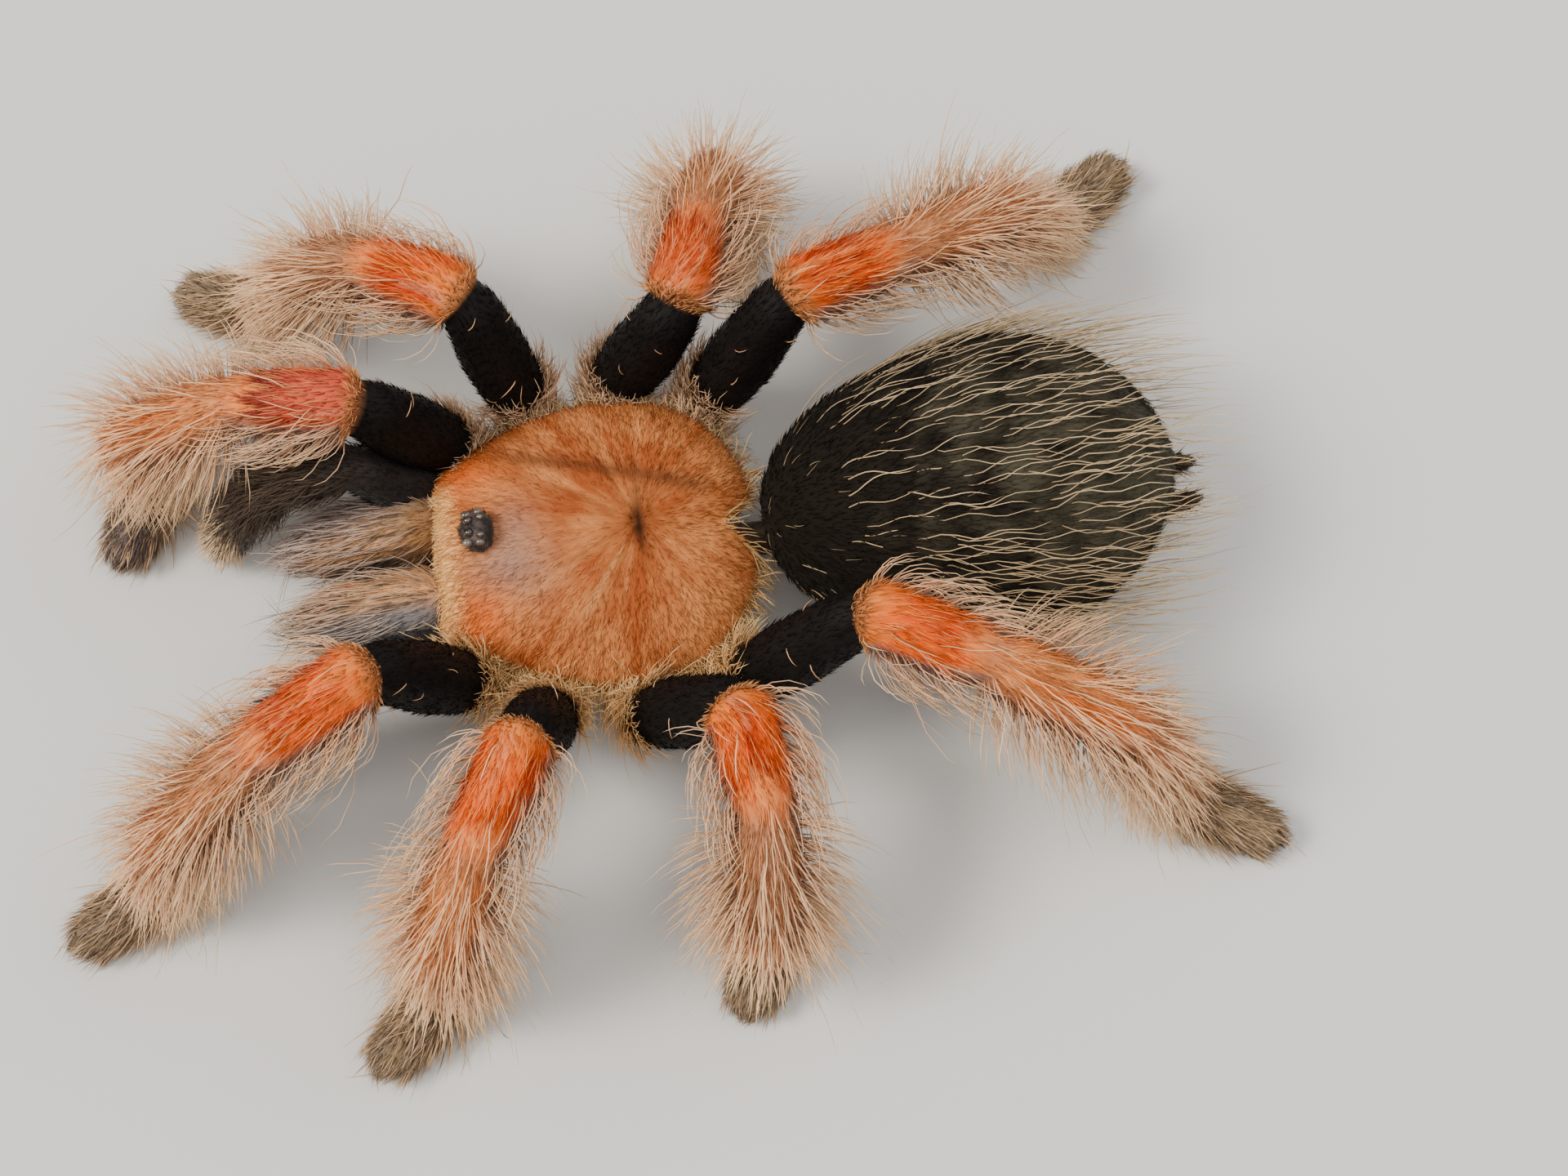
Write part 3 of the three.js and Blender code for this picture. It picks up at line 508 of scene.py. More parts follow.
def skin_material(name, roughness, strand, depth, sheen=0.1, shine=0.3):
    """Skin under hair: its colour darkened by combed strands that run along the map's v, which also raise
    it."""
    made, shader = new_material(name, Specular_IOR_Level=shine, Sheen_Weight=sheen, Sheen_Roughness=0.5)
    place = place_in(shader, "UV")
    strands = place.scaled((strand, strand * 0.13, 1)).noise(1.0, 4.0)
    broad = place.scaled((strand * 0.2, strand * 0.1, 1)).noise(1.0)
    tint_of(place).shaded(0.45 + strands * 0.7 + broad * 0.4).into(shader, "Base Color")
    (roughness + (strands - 0.5) * 0.3).into(shader, "Roughness")
    bump = {"Height": strands, "Strength": 0.8, "Distance": depth * MM}
    place.node("ShaderNodeBump", {}, bump).into(shader, "Normal")
    return made


def hair_material(name, roughness, sheen=0.05, shine=0.25):
    """Hair: each strand's own colour, lighter and darker in soft patches, with a soft shine that varies."""
    made, shader = new_material(name, Specular_IOR_Level=shine, Sheen_Weight=sheen, Sheen_Roughness=0.4)
    patches = place_in(shader, "Object").noise(420.0)
    tint_of(patches).shaded(0.78 + patches * 0.44).into(shader, "Base Color")
    (roughness + (patches - 0.5) * 0.25).into(shader, "Roughness")
    return made


def shield_tint(a, b):
    """Orange-brown, golden towards the rim, with painted shade along the front grooves, in the pit and in
    one band on the right, two pale creases, a painted grey-lilac sheen behind the eyes, brighter front
    corners and a pale peach front edge."""
    place = shield_surface(a, b)
    x, y = place[..., 0], place[..., 1]
    heading = np.arctan2(x, PIT_Y - y)
    away = np.hypot(x, y - PIT_Y)
    mottle = 0.36 * streaks(heading, away, 14, 0.35, 3.0, 3) * over(away, 2.2, 3.0)
    mottle = mottle + 0.22 * ripple(place, 1.3, 4) + 0.16 * ripple(place, 4.0, 5)
    valley = sum(bell(np.abs(heading), groove, 0.06) for groove in GROOVE_HEADINGS[:2])
    crease = bell(heading, 0.98, 0.04) + 0.7 * bell(heading, 1.3, 0.035) * over(away, 5.4, -1)
    # Painted shadow: a dark band down the right side of the dome, from the front corner to the rear.
    band = bell(x + 6.1 - 3.7 * np.clip((y + 7.3) / 14.2, 0, 1), 0, 0.6)
    colour = marked(
        SHIELD_ORANGE,
        (SHIELD_GOLD, 0.22 + mottle + 0.5 * over(away, 7.5, 4) + 0.4 * over(y, 5.0, 5)),
        # Painted shade along the two front grooves.
        (SHIELD_SHADE, 0.28 * valley * over(away, 1.6, 1) * np.clip((9.0 - away) / 4, 0, 1)),
        (RIM_GOLD, 0.42 * crease * over(away, 2.0, 1) * over(away, 7.8, -1.5)),
        # Painted shade in the pit.
        (PIT_SHADE, 0.95 * near(x, y, (0.2, PIT_Y + 0.04 * x * x), (2.0, 0.42))),
        (SHIELD_SHADE, 0.72 * band * (over(y, -8, 1) * over(y, 7.5, -2))),
        (RIM_GOLD, 0.8 * over(b, 0.44, 0.06) * over(y, 1.5, 4) * over(x, -2, 4)),
    )
    for shade, spots in SHIELD_PATCHES:
        colour = blend(colour, shade, sum(strength * near(x, y, *spot) for strength, *spot in spots))
    front, within = np.clip((-8.9 - y) / 1.0, 0, 1), np.clip((5.6 - np.abs(x - 0.6)) / 1.5, 0, 1)
    return blend(colour, SHIELD_PEACH, 0.95 * front * within)


def round_pit(a, b):
    """A density that keeps hair to the upper side and thins it over the pit."""
    place = shield_surface(a, b)
    return over(b, 0.49, -0.02) * (1 - 0.9 * near(place[..., 0], place[..., 1], (0.2, PIT_Y), (2.0, 0.38)))


def front_share(place):
    """From 0 behind to 1 on the shield's front edge."""
    return np.clip((-9.3 - place[..., 1]) / 0.8, 0, 1)


def fringe_tint(a, b):
    """Gold and brown in tufts, greyer on the right, and pale peach along the front edge."""
    place = shield_surface(a, b)
    brown = 0.45 + 0.6 * ripple(place, 1.6, 11)
    grey = 0.6 * np.clip((-3 - place[..., 0]) / 3, 0, 1)
    marks = (FRINGE_BROWN, brown), (FRINGE_GREY, grey), (SHIELD_PEACH, front_share(place))
    return marked(FRINGE_GOLD, *marks)


def fringe_tip(a, b):
    return blend(FRINGE_TIP, FRINGE_FRONT_TIP, front_share(shield_surface(a, b)))


def fringe_length(a, b):
    place = shield_surface(a, b)
    return 2.3 + 0.7 * ripple(place, 2.2, 12) - 1.5 * front_share(place)


shield_skin = skin_material("shield_skin", 0.72, 9.0, 0.12, 0.0, 0.15)
shield_hair = hair_material("shield_hair", 0.6, 0.0, 0.1)
skin("shield", shield_surface, 192, 96, shield_tint, shield_skin, ("carapace",), (60, 24))
coat(
    "shield_coat", shield_surface, 21, shield_hair, "shield_hair",
    dict(count=12000, density=round_pit, length=lambda a, b: 0.8 + 1.1 * b, width=0.085, rise=12, fall=2,
         tint=shield_tint, shades=0.3, turn=16),
    dict(count=2100, density=lambda a, b: (b > 0.41) * (b < 0.54) * 1.0, length=fringe_length, width=0.085,
         rise=30, fall=-8, rings=3, wave=0.25, tint=fringe_tint, tip=fringe_tip, turn=26),
)

# ---------------------------------------------------------------- the eye mound
# A low dark knob near the shield's front edge, with eight small glossy eyes in two rows: two round black ones
# that look up and forward, and six paler, oval ones beside and behind them.

MOUND = {"raised": 0.3, "half_width": 1.42, "half_length": 1.12, "height": 0.98}
EYES = (  # the place out and back from the mound's middle, the half-size and the look
    (0.42, -0.5, 0.34, "dark"), (0.98, -0.62, 0.30, "pale"),
    (1.05, 0.2, 0.26, "pale"), (0.62, 0.3, 0.2, "pale"),
)
EYE_COLOURS = {  # round the rim and in the pupil
    "dark": ((0.012, 0.008, 0.006, 1), (0.05, 0.03, 0.02, 1)),
    "pale": ((0.05, 0.035, 0.025, 1), (0.20, 0.16, 0.12, 1)),
}
EYE_GLOSS = {"Roughness": 0.08, "Coat_Weight": 1.0, "Coat_Roughness": 0.03}
EYE_LONG = {"dark": 1.0, "pale": 1.25}
MOUND_DARK = (0.016, 0.011, 0.010)
MOUND_GREY = (0.095, 0.062, 0.055)
EYE_GREY = (0.05, 0.05, 0.05)
SIDES = {"left": 1, "right": -1}
LEFTWARD = np.array([1.0, 0, 0])
REARWARD = np.array([0, 1.0, 0])
UPWARD = np.array([0, 0, 1.0])


def egg_surface(middle, across, along, back, sizes, fullness=0.0, blunt=2.0):
    """An egg at a round it from its back and b along it: a ball of three half-sizes, across, along and over
    its back, times a swelling of fullness times t times one less t squared, where t runs from -1 to 1 along
    it. The ball's radius is the root of one less t to the power of 2, or of blunt on the near half."""
    def surface(a, b):
        t = -np.cos(math.pi * np.clip(b, 0, 1))[..., None]
        power = np.where(t < 0, blunt, 2.0)
        radius = np.sqrt(np.clip(1 - np.abs(t) ** power, 0, 1)) * (1 + fullness * t * (1 - t * t))
        turn = 2 * math.pi * a[..., None]
        girth = across * (np.sin(turn) * sizes[0]) + back * (np.cos(turn) * sizes[2])
        return middle + along * t * sizes[1] + girth * radius
    return surface


def plain(colour):
    """A tint that is one colour all over."""
    return lambda a, b: np.tile(colour, (len(a), 1))


mound_base = SHIELD["rim"] + shield_rise(np.array(0.0), np.array((MOUND_Y - SHIELD_MIDDLE) / SHIELD_HALF))
mound_middle = np.array([0, MOUND_Y, mound_base + MOUND["raised"]])
mound_sizes = (MOUND["half_width"], MOUND["half_length"], MOUND["height"])
mound_surface = egg_surface(mound_middle, -LEFTWARD, -REARWARD, UPWARD, mound_sizes)


def mound_tint(a, b):
    return blend(MOUND_DARK, MOUND_GREY, 0.4 + 0.6 * ripple(mound_surface(a, b), 0.8, 31))


mound_skin = skin_material("mound_skin", 0.5, 12.0, 0.05)
mound_hair = hair_material("mound_hair", 0.5)
skin("mound", mound_surface, 64, 32, mound_tint, mound_skin, ("eye_mound",), (7, 3))
coat(
    "mound_coat", mound_surface, 32, mound_hair, "eyes",
    dict(count=520, length=0.55, width=0.055, rise=34, fall=10, turn=30, tint=mound_tint),
)

eye_materials = {}
for look, (rim_colour, pupil_colour) in EYE_COLOURS.items():
    eye_materials[look], shader = new_material("eye_" + look, **EYE_GLOSS)
    clouds = place_in(shader, "Object").noise(2400.0)
    clouds.ramp(0.35, rim_colour, 0.7, pupil_colour).into(shader, "Base Color")
    (0.05 + clouds * 0.1).into(shader, "Roughness")
for side_name, side in SIDES.items():
    for number, (x, y, radius, look) in enumerate(EYES, 1):
        share = max(0.02, 1 - (x / MOUND["half_width"]) ** 2 - (y / MOUND["half_length"]) ** 2)
        middle = mound_middle + np.array([side * x, y, MOUND["height"] * math.sqrt(share)])
        eye = egg_surface(middle, -LEFTWARD, -REARWARD, UPWARD, (radius, radius * EYE_LONG[look], radius))
        eye_name = f"eye_{number}_{side_name}"
        skin(eye_name, eye, 32, 18, plain(EYE_GREY), eye_materials[look], (), (1, 1))

# ---------------------------------------------------------------- the jaws
# Two thick basal segments side by side in front of the shield, covered in beige hair combed forward, with
# longer pale hairs over their tips. Each ends in a glossy black fang folded back below it.

JAW = {"root": (2.75, -10.6, 8.0), "length": 10.2, "half_width": 2.45, "half_height": 2.75, "droop": 16}
JAW_FORM = {"fullness": -0.1, "blunt": 4}
FANG = {"from": 0.8, "below": 0.7, "length": 5.2, "root": 0.95, "curl": 60, "lean": 46, "steps": 8}
JAW_BEIGE = (0.33, 0.19, 0.10)
JAW_PEACH = (0.68, 0.345, 0.15)
JAW_OCHRE = (0.24, 0.115, 0.036)
JAW_LILAC = (0.22, 0.165, 0.155)
JAW_BLUE = (0.15, 0.16, 0.175)
JAW_DARK = (0.022, 0.014, 0.010)
JAW_RUST = (0.30, 0.09, 0.035)
JAW_PEACHINESS = {"left": 0.85, "right": 0.25}
JAW_TIPS = {"left": (0.72, 0.52, 0.37), "right": (0.60, 0.47, 0.40)}
JAW_LOW_TIP = (0.20, 0.15, 0.12)
FANG_BLACK, FANG_BROWN = (0.006, 0.004, 0.004, 1), (0.05, 0.018, 0.01, 1)
HORN_TINT = (0.02, 0.02, 0.02)


def limb_axes(side, yaw, pitch):
    """A segment's unit ways along it and out of its back: yaw from straight ahead to its own side, pitch
    up."""
    yaw, pitch = math.radians(yaw), math.radians(pitch)
    ahead = np.array([side * math.sin(yaw), -math.cos(yaw), 0])
    along = ahead * math.cos(pitch) + UPWARD * math.sin(pitch)
    return along, UPWARD * math.cos(pitch) - ahead * math.sin(pitch)


class Limb:
    """A limb: a middle line from base to tip, its back's heading, and its skin, a round tube with rounded
    ends.

    A coordinate called where counts segments from the base, such as 2.5 in the middle of the third. Each bend
    is a quadratic curve that leaves the straight further from the joint the sharper it is. The tube's radius
    is read from a smoothed table of places on where and radii, and is a little less across than over its
    back."""

    NARROW = 0.92
    STRAIGHT_STEPS = 24
    BEND_STEPS = 22
    RADIUS_STEPS = 600
    SMOOTHING = 14

    def __init__(self, joints, backs, table):
        steps = np.diff(joints, axis=0)
        lengths = np.linalg.norm(steps, axis=1)
        ways = steps / lengths[:, None]
        last = len(ways) - 1
        cuts = np.zeros(last + 2)
        for i in range(last):
            bend = math.acos(np.clip(ways[i] @ ways[i + 1], -1, 1))
            cuts[i + 1] = min(2.1 * math.tan(bend / 2) + 0.2, 0.42 * min(lengths[i], lengths[i + 1]))
        places, where, headings = [], [], []
        for i in range(last + 1):
            t = np.linspace(cuts[i], lengths[i] - cuts[i + 1], self.STRAIGHT_STEPS)
            places.append(joints[i] + ways[i] * t[:, None])
            where.append(i + t / lengths[i])
            headings.append(np.repeat(backs[i][None], self.STRAIGHT_STEPS, 0))
            if i < last:
                s = np.linspace(0, 1, self.BEND_STEPS)[1:-1, None]
                joint, cut = joints[i + 1], cuts[i + 1]
                start, end = joint - ways[i] * cut, joint + ways[i + 1] * cut
                places.append(start * (1 - s) ** 2 + joint * 2 * s * (1 - s) + end * s ** 2)
                bend_where = [i + 1 - cut / lengths[i], i + 1, i + 1 + cut / lengths[i + 1]]
                where.append(np.interp(s[:, 0], [0, 0.5, 1], bend_where))
                headings.append(backs[i] * (1 - s) + backs[i + 1] * s)
        self.places = np.concatenate(places)
        self.headings = np.concatenate(headings)
        self.where_table = np.concatenate(where)
        way = np.concatenate([[0], np.cumsum(np.linalg.norm(np.diff(self.places, axis=0), axis=1))])
        self.length = way[-1]
        self.share = way / way[-1]
        spots, radii = np.array(table).T
        self.spots = np.linspace(spots[0], spots[-1], self.RADIUS_STEPS)
        self.radii = np.interp(self.spots, spots, radii)
        for _ in range(self.SMOOTHING):
            self.radii[1:-1] = (self.radii[:-2] + self.radii[1:-1] + self.radii[2:]) / 3

    def where(self, b):
        return np.interp(b, self.share, self.where_table)

    def by(self, rule):
        """A function of a and b, from a rule that takes where along the limb and how far it faces up."""
        return lambda a, b: rule(self.where(b), facing_up(a))

    def read(self, table, b):
        """The table's three columns at the share b of the limb's length."""
        return np.stack([np.interp(b, self.share, table[:, i]) for i in range(3)], -1)

    def line(self, b):
        return self.read(self.places, b)

    def __call__(self, a, b):
        b = np.clip(b, 0, 1)
        along = unit(self.line(b + 0.004) - self.line(b - 0.004))
        across = unit(np.cross(along, self.read(self.headings, b)))
        back = np.cross(across, along)
        radius = np.interp(self.where(b), self.spots, self.radii)
        start, end = self.radii[0] / self.length, self.radii[-1] / self.length
        rounded = np.clip((start - b) / start, 0, 1) ** 2 + np.clip((b - 1 + end) / end, 0, 1) ** 2
        radius = (radius * np.sqrt(np.clip(1 - rounded, 0, 1)))[..., None]
        turn = 2 * math.pi * a[..., None]
        return floored(self.line(b) + radius * (across * np.sin(turn) * self.NARROW + back * np.cos(turn)))


def facing_up(a):
    """One on a limb's back, nothing on its sides and minus one below."""
    return np.cos(2 * math.pi * a)


def jaw_marks(jaw, root_x, side_name):
    """Beige and peach strands with darker ones between, ochre at the right jaw's root and lilac-grey down its
    outer half, blue-grey along the left one's outer edge and lilac on its tip, and painted shade along the
    inner edge where the jaws meet and below."""
    side = SIDES[side_name]

    def tint(a, b):
        place = jaw(a, b)
        y = place[..., 1]
        outer = side * (place[..., 0] - root_x) / JAW["half_width"]
        share = np.clip((JAW["root"][1] - y) / JAW["length"], 0, 1)
        streak = ripple(place * (3.2, 0.3, 3.2), 1.7, 41)
        if side > 0:
            marks = (
                (JAW_LILAC, 0.6 * over(share, 0.75, 0.4)),
                (JAW_BLUE, 0.9 * over(outer + 0.15 * streak, 0.28, 0.5)),
            )
        else:
            marks = (
                (JAW_OCHRE, 0.8 * over(y, -12.6, 1.6)),
                (JAW_LILAC, 0.9 * over(outer + 0.25 * streak + 0.9 * share, 0.5, 0.6)),
            )
        return marked(
            JAW_BEIGE,
            (JAW_PEACH, JAW_PEACHINESS[side_name] + 0.7 * streak),
            # Dark strands, and painted shade along the inner edge where the two jaws meet.
            (JAW_DARK, 0.65 * over(streak, -0.6, -0.5) + 0.9 * over(outer + 0.2 * share, -0.72, -0.3)),
            *marks,
            # Painted shade below.
            (JAW_DARK, over(facing_up(a), -0.25, -0.5)),
        )
    return tint


jaw_skin = skin_material("jaw_skin", 0.65, 8.0, 0.1)
jaw_hair = hair_material("jaw_hair", 0.5)
fang_horn, shader = new_material("fang_horn", Roughness=0.16, Coat_Weight=0.6, Coat_Roughness=0.05)
grain = place_in(shader, "Object").scaled((1, 0.3, 1)).noise(900.0)
grain.ramp(0.3, FANG_BLACK, 0.8, FANG_BROWN).into(shader, "Base Color")
(0.12 + grain * 0.12).into(shader, "Roughness")

for side_name, side in SIDES.items():
    along, back = limb_axes(side, 0, -JAW["droop"])
    across = np.cross(along, back)
    root = np.array(JAW["root"]) * (side, 1, 1)
    middle = root + along * JAW["length"] * 0.46
    jaw_sizes = (JAW["half_width"], JAW["length"] * 0.55, JAW["half_height"])
    jaw = egg_surface(middle, across, along, back, jaw_sizes, **JAW_FORM)
    jaw_tint = jaw_marks(jaw, root[0], side_name)

    # The long hairs' tips turn darker below: painted shade.
    def jaw_tip(a, b):
        return blend(JAW_TIPS[side_name], JAW_LOW_TIP, over(facing_up(a), 0.0, -0.8))

    nodes = (f"chelicera_{side_name}",)
    skin(f"jaw_{side_name}", jaw, 72, 64, jaw_tint, jaw_skin, nodes, (16, 11))
    coat(
        f"jaw_coat_{side_name}", jaw, 42 + side, jaw_hair, "jaw_hair",
        dict(count=3300, length=lambda a, b: 1.0 + 1.1 * b, width=0.085, rise=13, fall=0, tint=jaw_tint,
             shades=0.4, turn=7),
        dict(count=400, density=lambda a, b: over(b, 0.4, 0.7) * (1.1 + facing_up(a)),
             length=lambda a, b: 2.0 + 2.4 * b, width=0.10, rise=19, fall=-8, rings=4, wave=0.08,
             tint=jaw_tint, tip=jaw_tip, turn=8, stray=0.12),
        dict(count=300, density=lambda a, b: np.clip(-facing_up(a), 0, 1), length=2.2, width=0.10, rise=45,
             fall=10, rings=3, tint=plain(JAW_RUST), turn=20),
    )

    fang_root = root + along * JAW["length"] * FANG["from"] - back * JAW["half_height"] * FANG["below"]
    shares = np.linspace(0, 1, FANG["steps"] + 1)
    ways = [limb_axes(side, 180, FANG["curl"] * share - FANG["lean"]) for share in shares[:-1]]
    steps = [way * FANG["length"] / FANG["steps"] for way, _ in ways]
    fang_radii = [(FANG["steps"] * share, FANG["root"] * (1 - 0.88 * share ** 1.15)) for share in shares]
    headings = np.array([heading for _, heading in ways])
    fang = Limb(np.cumsum([fang_root] + steps, axis=0), headings, fang_radii)
    nodes = (f"fang_{side_name}",)
    skin(f"fang_horn_{side_name}", fang, 40, 60, plain(HORN_TINT), fang_horn, nodes, (5, 5))

# ---------------------------------------------------------------- the eight legs
# Each leg is one skin from its base under the shield to its toe: black velvet up to the knee, orange-red on
# the patella's back, peach on the tibia, greyish pink beyond and olive on the foot. Its coat is short hair
# combed towards the foot, with long pale hairs standing out at the sides. Two small dark claws are set in the
# toe.

HIP_Z = 6.6
BASE_Z = 6.15
BASE_SHARE = (0.3, 0.45)
ANKLE_Z = 2.0
TOE_Z = 1.5
HIPS = {1: (8.4, -9.2), 2: (11.4, -4.4), 3: (12.0, 1.8), 4: (10.4, 8.2), "palp": (5.2, -10.8)}
LENGTHS = {
    1: (13.6, 9.0, 10.6, 7.8, 6.6),
    2: (12.4, 8.2, 9.2, 7.4, 6.4),
    3: (11.4, 7.6, 8.4, 8.4, 6.2),
    4: (13.8, 8.4, 11.2, 11.2, 6.8),
    "palp": (7.8, 5.2, 5.8, 5.6),
}
STANCE = {  # yaw of each segment, pitch of the first ones, and whether the shin leans back in under the knee
    ("left", 1): ((22, 28, 25, 26, 30), (62, -12, -42), False),
    ("left", 2): ((76, 60, 56, 52, 46), (68, -8, -56), False),
    ("left", 3): ((158, 98, 84, 76, 68), (54, -2, -42), True),
    ("left", 4): ((184, 154, 155, 154, 150), (52, -5, -24), False),
    ("right", 1): ((-12, 16, 4, -30, -62), (66, -20, -36), True),
    ("right", 2): ((48, 34, 26, 22, 18), (70, -20, -46), False),
    ("right", 3): ((166, 105, 106, 108, 106), (63, -18, -40), True),
    ("right", 4): ((164, 156, 150, 142, 142), (64, -14, -28), False),
    ("left", "palp"): ((32, 15, 10, 16), (26, -20, -55), False),
    ("right", "palp"): ((6, 0, -4, -6), (50, -12, -56), False),
}
LEG_RADII = (  # places on where, and the radius there
    (0, 1.45), (0.8, 1.9), (1.0, 1.7), (1.15, 2.2), (1.45, 2.5), (1.88, 2.1), (2.0, 1.75), (2.04, 2.3),
    (2.12, 2.4), (2.5, 2.3), (2.9, 2.05), (2.99, 1.6), (3.08, 1.98), (3.4, 2.2), (3.9, 1.95), (3.99, 1.5),
    (4.08, 1.68), (4.5, 1.74), (4.92, 1.6), (5.0, 1.35), (5.09, 1.6), (5.45, 1.78), (5.82, 1.55), (6.0, 1.2),
)
LEG_PARTS = ("femur", "patella", "tibia", "metatarsus", "tarsus")
CLAW = {"apart": 0.3, "below": 0.2, "line": ((-0.2, 0), (0.35, 0.08), (0.75, -0.25))}
CLAW_RADII = ((0, 0.15), (1, 0.11), (2, 0.03))
FEMUR_BLACK = (0.007, 0.0055, 0.005)
COXA_BROWN = (0.075, 0.042, 0.020)
RIM_BROWN = (0.40, 0.15, 0.05)
RIM_HAIR = (0.62, 0.27, 0.10)
KNEE_GOLD = (0.76, 0.215, 0.035)
PATELLA_ORANGE = (0.86, 0.135, 0.004)
PATELLA_RED = (0.52, 0.042, 0.002)
FLAME_SHADE = (0.24, 0.020, 0.002)
CAP_PEACH = (0.86, 0.245, 0.052)
JOINT_PALE = (0.84, 0.44, 0.23)
JOINT_BROWN = (0.34, 0.17, 0.11)
SIDE_PINK = (0.54, 0.29, 0.19)
SIDE_GREY = (0.15, 0.115, 0.11)
TIBIA_PEACH = (0.86, 0.33, 0.10)
TIBIA_ORANGE = (0.82, 0.21, 0.035)
TIBIA_SHADE = (0.26, 0.11, 0.05)
STRIPE_TIP = (0.92, 0.36, 0.12)
DULL_PINK = (0.41, 0.205, 0.115)
SHIN_PINK = (0.70, 0.34, 0.175)
FOOT_OLIVE = (0.32, 0.225, 0.130)
FOOT_TIP = (0.60, 0.42, 0.25)
CREAM = (0.86, 0.48, 0.255)
CREAM_TIP = (1.0, 0.69, 0.41)
CREAM_SHADE = (0.34, 0.235, 0.185)
ROSE = (0.52, 0.075, 0.05)
ROSE_DARK = (0.20, 0.028, 0.022)
# The share of painted shadow on the feet of legs that lie in shade, times the leg's share in ROSY.
FOOT_SHADE = 0.9
# On the right second leg the fade also stands for painted shade.
DULL = {  # how far a leg's stripe fades
    ("left", 1): 0.55, ("left", 2): 0.15, ("left", 3): 0.85, ("left", 4): 0,
    ("right", 1): 0.25, ("right", 2): 0.9, ("right", 3): 0.6, ("right", 4): 0.5,
}
# The same share also sets how much painted shadow FOOT_SHADE lays on that leg's foot.
ROSY = {("right", 1): 0.8, ("right", 3): 0.3, ("left", 1): 0.1}  # how far a knee's orange turns to rose
TUFT_GOLD, TUFT_BROWN, TUFT_GREY = (0.72, 0.37, 0.13), (0.22, 0.105, 0.035), (0.17, 0.115, 0.085)
TUFT_GREYNESS = {"left": 0.0, "right": 0.55}
TUFT_TIPS = {"left": (1.0, 0.64, 0.30), "right": (0.74, 0.49, 0.31)}


def limb_joints(side_name, kind):
    """A limb's joints from its base under the body to its toe, and each segment's back.

    A segment with no pitch of its own slopes down to the height of the ankle or the toe."""
    side = SIDES[side_name]
    yaws, pitches, tucked = STANCE[side_name, kind]
    lengths = LENGTHS[kind]
    hip = np.array([side * HIPS[kind][0], HIPS[kind][1], HIP_Z])
    base = np.array([hip[0] * BASE_SHARE[0], hip[1] * BASE_SHARE[1], BASE_Z])
    outward = unit(hip - base)
    joints = [base, hip]
    backs = [unit(UPWARD - outward * outward[2])]
    for i, length in enumerate(lengths):
        if i < len(pitches):
            pitch = pitches[i]
        else:
            foot = i == len(lengths) - 1
            drop = joints[-1][2] - (TOE_Z if foot else ANKLE_Z)
            slope = math.degrees(math.asin(min(1, drop / length)))
            pitch = slope - 180 if tucked and not foot else -slope
        along, back = limb_axes(side, yaws[i], pitch)
        joints.append(joints[-1] + along * length)
        backs.append(back)
    return np.array(joints), np.array(backs)


